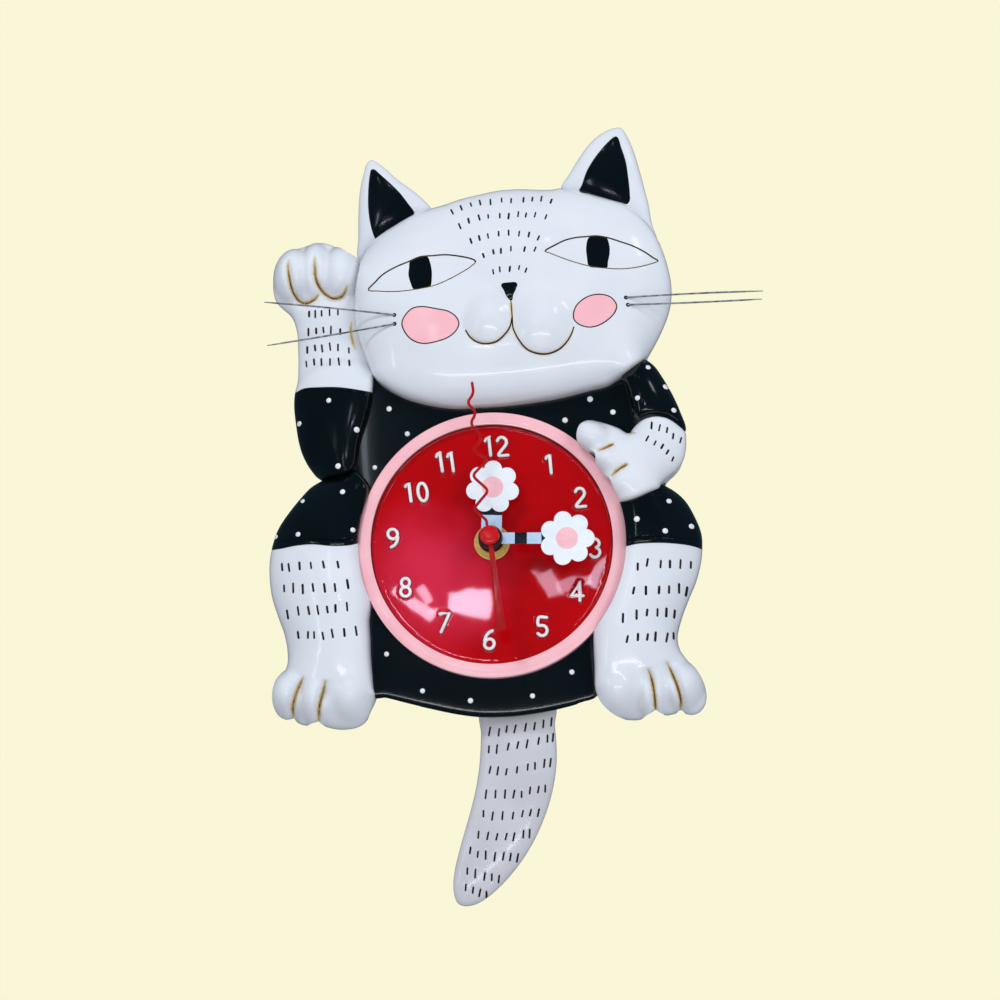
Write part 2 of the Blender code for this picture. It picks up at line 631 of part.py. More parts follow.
def flower(centre, radius, back, front):
    """Round petals on a circle, one of them pointing straight up."""
    points = []
    petal_centre, petal_r = 0.69 * radius, 0.31 * radius
    for i in range(PETALS):
        for k in range(8):
            turn = math.pi / PETALS * (k / 4 - 1)
            inside = petal_r * petal_r - (petal_centre * math.sin(turn)) ** 2
            reach = petal_centre * math.cos(turn) + math.sqrt(max(inside, 0))
            angle = math.pi / 2 + 2 * math.pi * i / PETALS + turn
            points.append((centre[0] + reach * math.cos(angle),
                           centre[1] + reach * math.sin(angle)))
    return flat([points], back, front)


def build_flower_hand(name, reach, stem_w, hub_r, tube_r, back, front, collar_back, degrees):
    """Flower-tipped hand pointing at twelve, then turned clockwise."""
    centre = (0.0, reach)
    bore = tube_r + GAP
    half, stem_top = stem_w / 2, reach - 3.0
    stem = [(-half, 0), (half, 0), (half, stem_top), (-half, stem_top)]
    hand = flower(centre, FLOWER_R, back, front)
    combine(hand, [flat([stem], back + 0.05, front - 0.05),
                   cylinder(centre, back + 0.1, front + 0.5, FLOWER_R * 0.41, 24),
                   cylinder(ARBOR, back, front + 0.2, hub_r, 28),
                   cylinder(ARBOR, collar_back, front, bore + 0.9, 20)])
    cut(hand, cylinder(ARBOR, collar_back - 1, front + 2, bore, 20))
    turn_about(hand, ARBOR, -degrees)
    finish(hand, name, "hand_white", (0, 0, (back + front) / 2))


def build_seconds_hand():
    """Lightning-shaped pointer with a counterweight that widens away from the hub."""
    hand = flat([stroke(ZIGZAG, ZIGZAG_W)], SECONDS_BACK, SECONDS_FRONT)
    combine(hand, [flat([COUNTERWEIGHT], SECONDS_BACK + 0.02, SECONDS_FRONT - 0.02),
                   cylinder(ARBOR, 44.5, SECONDS_FRONT, 3.2, 24),
                   cylinder(ARBOR, 42.5, 45.0, 1.6, 20)])
    cut(hand, cylinder(ARBOR, 42.0, 46.0, SECONDS_ARBOR_R + GAP, 16))
    finish(hand, "seconds_hand", "red", (0, 0, (SECONDS_BACK + SECONDS_FRONT) / 2))


def build_seconds_cap():
    """Cap with a blind hole over the end of the seconds arbor."""
    cap = turned(CAP_PROFILE, ARBOR, 32)
    cut(cap, cylinder(ARBOR, 44.0, 46.7, SECONDS_ARBOR_R + GAP, 16))
    finish(cap, "seconds_hand_cap", "red", (0, 0, 46.5))


def build_collar(name, material_name, back, front, radius, segments, bore, bore_segments):
    """Nut or washer: a short cylinder with a through hole."""
    collar = cylinder(ARBOR, back, front, radius, segments)
    cut(collar, cylinder(ARBOR, back - 1.0, front + 1.0, bore, bore_segments))
    finish(collar, name, material_name, (0, 0, (back + front) / 2))


# ----------------------------------------------------------- gear train layout
GearPair = namedtuple("GearPair", "pinion wheel module")   # teeth, teeth, mm


def centre_distance(pair):
    return (pair.pinion + pair.wheel) * pair.module / 2


def pair_at_distance(pinion, wheel, distance):
    return GearPair(pinion, wheel, 2 * distance / (pinion + wheel))


ROTOR_PAIR = GearPair(6, 30, 0.45)
SECONDS_PAIR = pair_at_distance(6, 36, 11.9)
THIRD_PAIR = GearPair(6, 45, 0.48)
CENTRE_PAIR = pair_at_distance(6, 48, centre_distance(THIRD_PAIR))
CANNON_PAIR = GearPair(10, 30, 0.40)
HOUR_PAIR = pair_at_distance(6, 24, centre_distance(CANNON_PAIR))


def offset(start, distance, degrees):
    angle = math.radians(degrees)
    return (start[0] + distance * math.cos(angle), start[1] + distance * math.sin(angle))


MOTION_DIRECTION = 45.0
INTERMEDIATE = offset(ARBOR, centre_distance(SECONDS_PAIR), -15.0)
ROTOR = offset(INTERMEDIATE, centre_distance(ROTOR_PAIR), -60.0)
THIRD = offset(ARBOR, centre_distance(THIRD_PAIR), 200.0)
MOTION = offset(ARBOR, centre_distance(CANNON_PAIR), MOTION_DIRECTION)
KNOB = offset(ARBOR, 2 * centre_distance(CANNON_PAIR), MOTION_DIRECTION)

# rear faces of the wheels
INTERMEDIATE_BACK, SECONDS_WHEEL_BACK, THIRD_BACK = 6.6, 8.4, 10.2
CENTRE_BACK, MOTION_BACK, HOUR_BACK = 12.2, 13.9, 15.6
WHEEL_T = 0.8
CANNON_GEAR_BACK = 13.3        # also the setting knob's pinion
PINION_INSET = 0.4             # pinion starts this far into its own wheel
PINION_EXTRA = 0.2             # and passes this far in front of the driven one

FINE_ARBOR_R = 0.4             # rotor and intermediate wheel
THIRD_ARBOR_R = 0.5
MOTION_POST_R = 0.5
KNOB_SHAFT_R = 1.0

# ------------------------------------------------------------ movement housing
COVER_HOLES = [  # centre, back, radius of the part inside, segments
    (KNOB, 0.0, KNOB_SHAFT_R, 16),
    (PIVOT, SOCKET_BACK, PIVOT_PIN_R, 12),
    (ARBOR, SOCKET_BACK, SECONDS_ARBOR_R, 12),
    (INTERMEDIATE, SOCKET_BACK, FINE_ARBOR_R, 10),
    (THIRD, SOCKET_BACK, THIRD_ARBOR_R, 10),
    (ROTOR, SOCKET_BACK, FINE_ARBOR_R, 10),
]
COVER_CUT_FRONT = 8.0


def rounded_box(inset, back, front, radius):
    """Block with the plan of the housing, inset all round, with rounded corners."""
    side = CASE_HALF_W - inset - radius
    top = CASE_TOP - inset - radius
    bottom = CASE_BOTTOM + inset + radius
    points = []
    for x, z, start in ((side, top, 0), (-side, top, 90), (-side, bottom, 180),
                        (side, bottom, 270)):
        points += arc(x, z, radius, radius, start, start + 90, 4)
    return flat([points], back, front)


def build_front_case():
    """Tray that carries the bushing, motion-work post, battery walls and hanging loop."""
    tray = rounded_box(0.0, COVER_FRONT + GAP, CASE_FRONT, 3.0)
    cut(tray, rounded_box(CASE_WALL, 0.0, INNER_FRONT, 2.0))
    root = INNER_FRONT + 0.5
    wall_x = CASE_HALF_W - 0.5
    combine(tray, [
        cylinder(ARBOR, INNER_FRONT - 0.5, BUSH_FRONT, BUSH_R, 28),
        cylinder(MOTION, 13.6, root, MOTION_POST_R, 10),
        box(-wall_x, wall_x, -17.4, -16.4, 12.0, root),
        box(-wall_x, wall_x, -34.6, -33.6, 6.5, root),
    ])
    # hand stack bore, and the slot in the bottom wall for the pendulum lever
    cut(tray, [cylinder(ARBOR, 10.0, 32.0, HOUR_TUBE_R + GAP, 24),
               box(-8.5, 10.5, CASE_BOTTOM - 2, CASE_BOTTOM + CASE_WALL + 1, 5.0, 14.6)])
    # hanging loop above the housing
    combine(tray, flat([circle((0, CASE_TOP + 4.5), 6.0, 24),
                        circle((0, CASE_TOP + 5.0), 3.2, 20)], 15.0, 18.0))
    finish(tray, "movement_front_case", "movement_black")


def build_rear_cover():
    """Plate with the battery bay, the knob hole and blind sockets for the arbors."""
    plate = rounded_box(0.0, CASE_BACK, COVER_FRONT, 3.0)
    cut(plate, box(-26.2, 26.2, -33.4, -17.6, 0.0, COVER_CUT_FRONT))
    for centre, back, radius, segments in COVER_HOLES:
        cut(plate, cylinder(centre, back, COVER_CUT_FRONT, radius + GAP, segments))
    finish(plate, "movement_rear_cover", "movement_black")


# --------------------------------------------------------- battery and circuit
BATTERY_R, BATTERY_L = 7.25, 49.2
BATTERY_Z, BATTERY_H = -25.6, 11.2
NUB_R, NUB_L, NUB_OVERLAP = 2.7, 1.2, 0.5

SPRING_TURNS, SPRING_STEPS = 2.25, 26
SPRING_WIRE_R = 0.12
SPRING_R, SPRING_TAPER = 3.8, 1.4
SPRING_X, SPRING_L = -25.62, 0.62

BOARD_OUTLINE = [(-24.5, 9.5), (-10.0, 9.5), (-7.5, 12.0), (-7.5, 22.0), (-24.5, 22.0)]

COIL_LEG_X = 22.9              # centre of the stator's coil leg
COIL_LEG_HALF = 1.0
STATOR_BACK, STATOR_FRONT = 8.6, 9.4
STATOR_H = 9.0
STATOR_TOP = 21.0
RETURN_LEG = (17.4, 19.2)      # left and right edges
COIL_FLANGES = ((-1.0, 0.6), (15.4, 17.0))   # bottom, top


def build_battery():
    """AA cell lying along x, positive nub at the right."""
    end = BATTERY_L / 2
    cell = cylinder_x(-end, end - NUB_L, BATTERY_Z, BATTERY_H, BATTERY_R, 28)
    combine(cell, cylinder_x(end - NUB_L - NUB_OVERLAP, end, BATTERY_Z, BATTERY_H, NUB_R, 16))
    finish(cell, "aa_battery", "battery", (0, BATTERY_Z, BATTERY_H))


def contact_plate(left, right):
    return box(left, right, BATTERY_Z - 4.5, BATTERY_Z + 4.5, 6.6, 17.5)


def build_positive_contact():
    """Plate with a tab at its top."""
    plate = contact_plate(25.2, 25.7)
    combine(plate, box(25.25, 25.65, BATTERY_Z + 3.0, -16.9, 9.0, 11.7))
    finish(plate, "battery_contact_positive", "contact", (25.4, BATTERY_Z, 12.0))


def build_negative_contact():
    """Plate with a conical spring of round wire that narrows towards the cell."""
    points = []
    for i in range(SPRING_STEPS + 1):
        t = i / SPRING_STEPS
        angle = 2 * math.pi * SPRING_TURNS * t
        radius = SPRING_R - SPRING_TAPER * t
        points.append((SPRING_X + SPRING_L * t, BATTERY_Z + radius * math.cos(angle),
                       BATTERY_H + radius * math.sin(angle)))
    plate = contact_plate(-26.1, -25.6)
    combine(plate, wire(points, SPRING_WIRE_R, 1))
    finish(plate, "battery_contact_negative", "contact", (-25.8, BATTERY_Z, 12.0))


def build_circuit_board():
    """Board with a round and an oblong component on its front."""
    board = flat([BOARD_OUTLINE], 11.0, 12.0)
    combine(board, [cylinder((-16.0, 15.5), 11.5, 12.8, 3.0, 16),
                    box(-22.5, -20.5, 12.0, 20.0, 11.5, 14.4)])
    finish(board, "circuit_board", "board", (-16, 16, 11.5))


def build_stator():
    """Closed magnetic loop of sheet: rotor lobe, return leg and coil leg."""
    x, z = ROTOR
    leg_left, leg_right = COIL_LEG_X - COIL_LEG_HALF, COIL_LEG_X + COIL_LEG_HALF
    outside = [(x - 4.8, z - 5.0), (x + 4.8, z - 5.0), (leg_right, z - 3.6),
               (leg_right, STATOR_TOP), (RETURN_LEG[0], STATOR_TOP), (RETURN_LEG[0], z + 4.4),
               (x - 4.8, z + 4.4)]
    window = [(RETURN_LEG[1], -5.0), (RETURN_LEG[1], 19.2), (leg_left, 19.2), (leg_left, -5.0)]
    sheet = flat([outside, window, circle(ROTOR, 3.4, 20)], STATOR_BACK, STATOR_FRONT)
    finish(sheet, "stator", "core", (x, z, STATOR_H))


def build_drive_coil():
    """Flanged winding with a slot for the stator's coil leg."""
    winding = cylinder_z(COIL_LEG_X, 0.0, 16.0, STATOR_H, 2.5, 20)
    combine(winding, [box(COIL_LEG_X - 3.1, COIL_LEG_X + 3.1, bottom, top, 6.4, 11.6)
                      for bottom, top in COIL_FLANGES])
    slot = COIL_LEG_HALF + GAP
    cut(winding, box(COIL_LEG_X - slot, COIL_LEG_X + slot, -3.0, 19.0,
                     STATOR_BACK - GAP, STATOR_FRONT + GAP))
    finish(winding, "drive_coil", "copper", (COIL_LEG_X, 8.0, STATOR_H))


# ----------------------------------------------------------------- gear train
WHEEL_ORIGIN_H = 9.0


def meshed(phase, driver, driven, driver_teeth, driven_teeth):
    """Tooth angle of the driven wheel that meshes with the driver at its phase."""
    line = math.atan2(driven[1] - driver[1], driven[0] - driver[0])
    return (line + math.pi - (phase - line) * driver_teeth / driven_teeth
            + math.pi / driven_teeth)


# angle of one tooth of each wheel, radians
INTERMEDIATE_PINION_PHASE = 0.1
CANNON_PHASE = 0.2
INTERMEDIATE_PHASE = meshed(0.0, ROTOR, INTERMEDIATE, ROTOR_PAIR.pinion, ROTOR_PAIR.wheel)
SECONDS_PHASE = meshed(INTERMEDIATE_PINION_PHASE, INTERMEDIATE, ARBOR,
                       SECONDS_PAIR.pinion, SECONDS_PAIR.wheel)
THIRD_PHASE = meshed(0.0, ARBOR, THIRD, THIRD_PAIR.pinion, THIRD_PAIR.wheel)
CENTRE_PHASE = meshed(0.0, THIRD, ARBOR, CENTRE_PAIR.pinion, CENTRE_PAIR.wheel)
MOTION_PHASE = meshed(CANNON_PHASE, ARBOR, MOTION, CANNON_PAIR.pinion, CANNON_PAIR.wheel)
HOUR_PHASE = meshed(0.0, MOTION, ARBOR, HOUR_PAIR.pinion, HOUR_PAIR.wheel)
KNOB_PHASE = meshed(MOTION_PHASE, MOTION, KNOB, CANNON_PAIR.wheel, CANNON_PAIR.pinion)


def gear(teeth, module, phase, centre, back, front, bore=0.0):
    """Spur wheel of straight-flanked teeth."""
    pitch = 2 * math.pi / teeth
    pitch_r = module * teeth / 2
    root_r, tip_r = pitch_r - 0.9 * module, pitch_r + 0.75 * module
    points = []
    for i in range(teeth):
        for radius, share in ((root_r, -0.5), (tip_r, -0.22), (tip_r, 0.22), (root_r, 0.5)):
            angle = phase + i * pitch + pitch * share / 2 * (pitch_r / radius)
            points.append((centre[0] + radius * math.cos(angle),
                           centre[1] + radius * math.sin(angle)))
    loops = [points]
    if bore:
        loops.append(circle(centre, bore, 20))
    return flat(loops, back, front)


def toothed_disc(pair, phase, centre, back, bore=0.0):
    return gear(pair.wheel, pair.module, phase, centre, back, back + WHEEL_T, bore)


def pinion(pair, phase, centre, own_back, driven_back):
    """Pinion from within its own wheel to just in front of the wheel it meets."""
    return gear(pair.pinion, pair.module, phase, centre, own_back + PINION_INSET,
                driven_back + WHEEL_T + PINION_EXTRA)


def cannon_gear(phase, centre):
    return gear(CANNON_PAIR.pinion, CANNON_PAIR.module, phase, centre, CANNON_GEAR_BACK,
                MOTION_BACK + WHEEL_T)


def finish_wheel(name, solids, centre, bore=None, material_name="gear_white"):
    """Join coaxial solids and bore them through."""
    body = combine(solids[0], solids[1:])
    if bore:
        cut(body, cylinder(centre, 0.0, 50.0, bore, 20))
    finish(body, name, material_name, (*centre, WHEEL_ORIGIN_H))


def build_rotor():
    """Magnet, pinion and arbor."""
    finish_wheel("rotor", [
        cylinder(ROTOR, 8.0, 11.0, 3.0, 24),
        gear(ROTOR_PAIR.pinion, ROTOR_PAIR.module, 0.0, ROTOR, INTERMEDIATE_BACK, 8.2),
        cylinder(ROTOR, ARBOR_BACK, ARBOR_FRONT, FINE_ARBOR_R, 10)],
        ROTOR, material_name="magnet")


def build_intermediate_wheel():
    finish_wheel("intermediate_wheel", [
        toothed_disc(ROTOR_PAIR, INTERMEDIATE_PHASE, INTERMEDIATE, INTERMEDIATE_BACK),
        pinion(SECONDS_PAIR, INTERMEDIATE_PINION_PHASE, INTERMEDIATE, INTERMEDIATE_BACK,
               SECONDS_WHEEL_BACK),
        cylinder(INTERMEDIATE, ARBOR_BACK, ARBOR_FRONT, FINE_ARBOR_R, 10)], INTERMEDIATE)


def build_seconds_wheel():
    """Wheel and pinion on the long arbor that carries the seconds hand."""
    finish_wheel("seconds_wheel", [
        toothed_disc(SECONDS_PAIR, SECONDS_PHASE, ARBOR, SECONDS_WHEEL_BACK),
        pinion(THIRD_PAIR, 0.0, ARBOR, SECONDS_WHEEL_BACK, THIRD_BACK),
        cylinder(ARBOR, ARBOR_BACK, 46.4, SECONDS_ARBOR_R, 14)], ARBOR)


def build_third_wheel():
    finish_wheel("third_wheel", [
        toothed_disc(THIRD_PAIR, THIRD_PHASE, THIRD, THIRD_BACK),
        pinion(CENTRE_PAIR, 0.0, THIRD, THIRD_BACK, CENTRE_BACK),
        cylinder(THIRD, ARBOR_BACK, ARBOR_FRONT, THIRD_ARBOR_R, 10)], THIRD)


def build_centre_wheel():
    """Plain wheel round the cannon tube."""
    finish_wheel("centre_wheel", [
        toothed_disc(CENTRE_PAIR, CENTRE_PHASE, ARBOR, CENTRE_BACK,
                     bore=MINUTE_TUBE_R + GAP)], ARBOR)


def build_cannon_pinion():
    """Minute tube with its pinion."""
    finish_wheel("cannon_pinion", [
        cylinder(ARBOR, 11.9, 39.6, MINUTE_TUBE_R, 20),
        cannon_gear(CANNON_PHASE, ARBOR)], ARBOR, bore=SECONDS_ARBOR_R + GAP)


def build_motion_work():
    """Minute wheel with its pinion, running on a post."""
    finish_wheel("motion_work_wheel", [
        toothed_disc(CANNON_PAIR, MOTION_PHASE, MOTION, MOTION_BACK),
        pinion(HOUR_PAIR, 0.0, MOTION, MOTION_BACK, HOUR_BACK)],
        MOTION, bore=MOTION_POST_R + GAP)


def build_hour_wheel():
    """Hour wheel and its tube."""
    finish_wheel("hour_wheel", [
        toothed_disc(HOUR_PAIR, HOUR_PHASE, ARBOR, HOUR_BACK),
        cylinder(ARBOR, HOUR_BACK - 0.3, 35.0, HOUR_TUBE_R, 24)],
        ARBOR, bore=MINUTE_TUBE_R + GAP)


def build_time_set_knob():
    """Knob behind the cover, geared to the minute wheel."""
    finish_wheel("time_set_knob", [
        cylinder(KNOB, 1.4, 3.7, 6.0, 18),
        cylinder(KNOB, 3.2, 14.2, KNOB_SHAFT_R, 14),
        cannon_gear(KNOB_PHASE, KNOB)], KNOB, material_name="movement_black")


# ------------------------------------------------------------------- pendulum
LEVER_BACK, LEVER_FRONT = 10.4, 11.6
PENDULUM_H = 11.0              # middle plane of lever, hook and tail
PENDULUM_ORIGIN = (*PIVOT, PENDULUM_H)
MAGNET_C = (PIVOT[0], PIVOT[1] - 14.0)    # with the pendulum at rest
EYE_DISTANCE = 27.0            # pivot to the lever's eye
EYE_C = (PIVOT[0], PIVOT[1] - EYE_DISTANCE)
DOWN = (math.sin(math.radians(TILT)), -math.cos(math.radians(TILT)))   # along the lever
EYE = (PIVOT[0] + EYE_DISTANCE * DOWN[0], PIVOT[1] + EYE_DISTANCE * DOWN[1])

HOOK_R = 2.6                   # bend radius of the hook
HOOK_WIRE_R = 0.7
HOOK_C, HOOK_NECK, HOOK_END = 3.1, 5.7, 18.0   # distances from the eye along the lever
TAIL_SOCKET_R, TAIL_SOCKET_L = 1.0, 20.0

TAIL = [  # (x, z) outline
    (-5.6, -72.5), (-5.8, -84.0), (-6.3, -95.5), (-7.8, -106), (-11.5, -120), (-15, -134),
    (-17.5, -147), (-17.4, -153.5), (-15.7, -157), (-12.6, -158.3), (-7.7, -157.4),
    (-2.2, -154), (3.3, -149), (9, -143), (14, -136), (18.5, -128.5), (22.5, -119.5),
    (25.5, -110), (27.3, -100), (27.2, -88), (26.7, -77.0), (25.8, -73.0), (22.5, -71.3),
    (10, -70.8), (-2.5, -71.0)]
SPINE_TOP, SPINE_BOTTOM = (10.0, -76.0), (-7.0, -146.0)
SPINE_BOW = 5.0                # bow of the centre line towards +x
TAIL_HALF_T = 5.6
TAIL_STEPS = 3                 # levels on each side of the middle plane


def build_lever():
    """Swinging arm: boss at the pivot, magnet seat, eye below the housing."""
    arm = flat([[(-2.6, PIVOT[1]), (-2.0, EYE_C[1] + 1.0), (2.0, EYE_C[1] + 1.0),
                 (2.6, PIVOT[1])]], LEVER_BACK, LEVER_FRONT)
    combine(arm, [cylinder(PIVOT, LEVER_BACK - 0.6, LEVER_FRONT + 0.6, 3.4, 20),
                  cylinder(MAGNET_C, LEVER_BACK + 0.05, LEVER_FRONT - 0.05, 5.6, 24),
                  cylinder(EYE_C, LEVER_BACK, LEVER_FRONT, 3.2, 20)])
    cut(arm, [cylinder(PIVOT, 0.0, 20.0, PIVOT_PIN_R + GAP, 14),
              cylinder(EYE_C, 0.0, 20.0, 1.9, 16)])
    turn_about(arm, PIVOT, TILT)
    finish(arm, "pendulum_lever", "lever_white", PENDULUM_ORIGIN)


def build_pendulum_magnet():
    puck = cylinder(MAGNET_C, LEVER_FRONT + GAP, 13.6, 4.6, 24)
    turn_about(puck, PIVOT, TILT)
    finish(puck, "pendulum_magnet", "magnet", PENDULUM_ORIGIN)


def build_pendulum_coil():
    """Fixed coil in front of the magnet's rest place."""
    bobbin = cylinder(MAGNET_C, 14.2, INNER_FRONT - GAP, 7.0, 28)
    cut(bobbin, cylinder(MAGNET_C, 13.0, 20.0, 1.6, 16))
    finish(bobbin, "pendulum_coil", "copper", (*MAGNET_C, 16.0))


def build_pivot_pin():
    finish(cylinder(PIVOT, ARBOR_BACK, ARBOR_FRONT, PIVOT_PIN_R, 14), "pendulum_pivot_pin",
           "steel_wire", PENDULUM_ORIGIN)


def build_hook():
    """Wire hook: hangs in the lever's eye, its leg is set into the tail."""
    middle = (LEVER_BACK + LEVER_FRONT) / 2
    stations = []                  # distance along the lever from the eye, height
    for i in range(10):
        angle = math.radians(-70 + 250 * i / 10)
        stations.append((HOOK_C - HOOK_R * math.cos(angle), middle - HOOK_R * math.sin(angle)))
    stations += [(HOOK_NECK, middle), (HOOK_END, middle)]
    points = [(EYE[0] + DOWN[0] * along, EYE[1] + DOWN[1] * along, height)
              for along, height in stations]
    finish(wire(points, HOOK_WIRE_R), "tail_hook", "steel_wire", PENDULUM_ORIGIN,
           sharp_angle=60)


def shrink_to_spine(x, z, scale):
    """Move an outline point towards the bent centre line of the tail."""
    rise = SPINE_TOP[1] - SPINE_BOTTOM[1]
    share = min(max((z - SPINE_BOTTOM[1]) / rise, 0.0), 1.0)
    spine_x = (SPINE_BOTTOM[0] + (SPINE_TOP[0] - SPINE_BOTTOM[0]) * share
               + SPINE_BOW * math.sin(math.pi * share))
    spine_z = SPINE_BOTTOM[1] + rise * share
    return (spine_x + (x - spine_x) * scale, spine_z + (z - spine_z) * scale)


def build_tail():
    """Curved resin tail with rounded edges and a socket for the hook's leg."""
    loop = smooth_loop(TAIL, 2)
    shape = bmesh.new()
    rings = []
    for j in range(-TAIL_STEPS, TAIL_STEPS + 1):
        angle = math.radians(90.0 * j / (TAIL_STEPS + 0.6))
        shrunk = [shrink_to_spine(x, z, math.cos(angle)) for x, z in loop]
        rings.append(add_ring(shape, shrunk, PENDULUM_H + TAIL_HALF_T * math.sin(angle)))
    bridge(shape, rings)
    shape.faces.new(rings[0])
    shape.faces.new(rings[-1])
    tail = to_object(shape)
    socket = cylinder_z(0.0, -TAIL_SOCKET_L, 0.0, 0.0, TAIL_SOCKET_R, 14)
    socket.data.transform(Matrix.Translation((EYE[0] * MM, EYE[1] * MM, PENDULUM_H * MM))
                          @ Matrix.Rotation(math.radians(TILT), 4, 'Z'))
    cut(tail, socket)
    finish(tail, "tail_pendulum", "tail_white", PENDULUM_ORIGIN, sharp_angle=50)


# ------------------------------------------------------------------- assembly
build_case()
for whisker, (whisker_root, whisker_tip) in WHISKERS.items():
    build_whisker(whisker, whisker_root, whisker_tip)

build_flower_hand("hour_hand", reach=23.4, stem_w=9.2, hub_r=5.6, tube_r=HOUR_TUBE_R,
                  back=33.4, front=34.2, collar_back=32.2, degrees=HOUR_ANGLE)
build_flower_hand("minute_hand", reach=33.4, stem_w=5.0, hub_r=5.4, tube_r=MINUTE_TUBE_R,
                  back=37.5, front=38.3, collar_back=36.4, degrees=MINUTE_ANGLE)
build_seconds_hand()
build_seconds_cap()
for collar_row in COLLARS:
    build_collar(*collar_row)

build_front_case()
build_rear_cover()
build_battery()
build_positive_contact()
build_negative_contact()
build_circuit_board()
build_stator()
build_drive_coil()

build_rotor()
build_intermediate_wheel()
build_seconds_wheel()
build_third_wheel()
build_centre_wheel()
build_cannon_pinion()
build_motion_work()
build_hour_wheel()
build_time_set_knob()

build_lever()
build_pendulum_magnet()
build_pendulum_coil()
build_pivot_pin()
build_hook()
build_tail()

bpy.data.collections.remove(WORK)
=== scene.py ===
# A wall clock shaped like a cat: a cast, painted figure with a dial in its belly, three hands,
# wire whiskers, and a tail that hangs below as the pendulum. The wall is the plane y = 0, the cat
# faces -Y, z is up, and the hand arbor stands at x = 0, z = -REST_Z. Left and right are the
# viewer's, so left is -x.
import json
import math
from collections import namedtuple

import bpy
import numpy as np
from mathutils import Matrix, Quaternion, Vector, kdtree
from mathutils.geometry import delaunay_2d_cdt
from numpy.linalg import norm

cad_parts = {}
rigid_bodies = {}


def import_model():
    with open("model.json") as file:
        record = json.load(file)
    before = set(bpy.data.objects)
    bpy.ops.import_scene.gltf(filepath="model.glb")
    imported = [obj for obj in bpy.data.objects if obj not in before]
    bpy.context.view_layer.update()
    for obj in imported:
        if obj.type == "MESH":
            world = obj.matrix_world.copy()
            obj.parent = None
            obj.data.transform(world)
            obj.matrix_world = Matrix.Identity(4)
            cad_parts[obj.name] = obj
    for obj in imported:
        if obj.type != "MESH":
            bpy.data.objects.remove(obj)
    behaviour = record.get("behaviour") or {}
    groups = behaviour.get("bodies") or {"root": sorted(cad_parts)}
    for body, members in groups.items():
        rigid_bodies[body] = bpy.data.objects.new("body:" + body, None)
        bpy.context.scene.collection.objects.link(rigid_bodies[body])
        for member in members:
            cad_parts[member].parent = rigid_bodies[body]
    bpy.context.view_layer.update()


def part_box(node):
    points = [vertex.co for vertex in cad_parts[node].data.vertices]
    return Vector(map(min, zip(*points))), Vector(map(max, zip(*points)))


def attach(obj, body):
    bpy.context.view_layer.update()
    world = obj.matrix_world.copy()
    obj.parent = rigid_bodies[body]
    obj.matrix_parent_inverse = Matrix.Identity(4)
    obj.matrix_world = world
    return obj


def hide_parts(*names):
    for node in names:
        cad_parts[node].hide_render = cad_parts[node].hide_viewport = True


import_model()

# Lengths are millimetres until a mesh or light is made. A place is (x, z), measured from the hand
# arbor, and a height is the depth in front of the wall. Drawn points are (across, up) on the plane
# through TARGET that faces the camera; laid() drops them on a surface along the lines of sight.
REST_Z = 64.0          # world origin above the arbor
MM = 0.001             # metres in a millimetre
CELL = 0.5             # spacing of the height grids
STEP = 1.0             # spacing of the loose mesh points on figure and tail


def table(text):
    """Points from a text of "first,second" pairs."""
    return [tuple(map(float, pair.split(","))) for pair in text.split()]


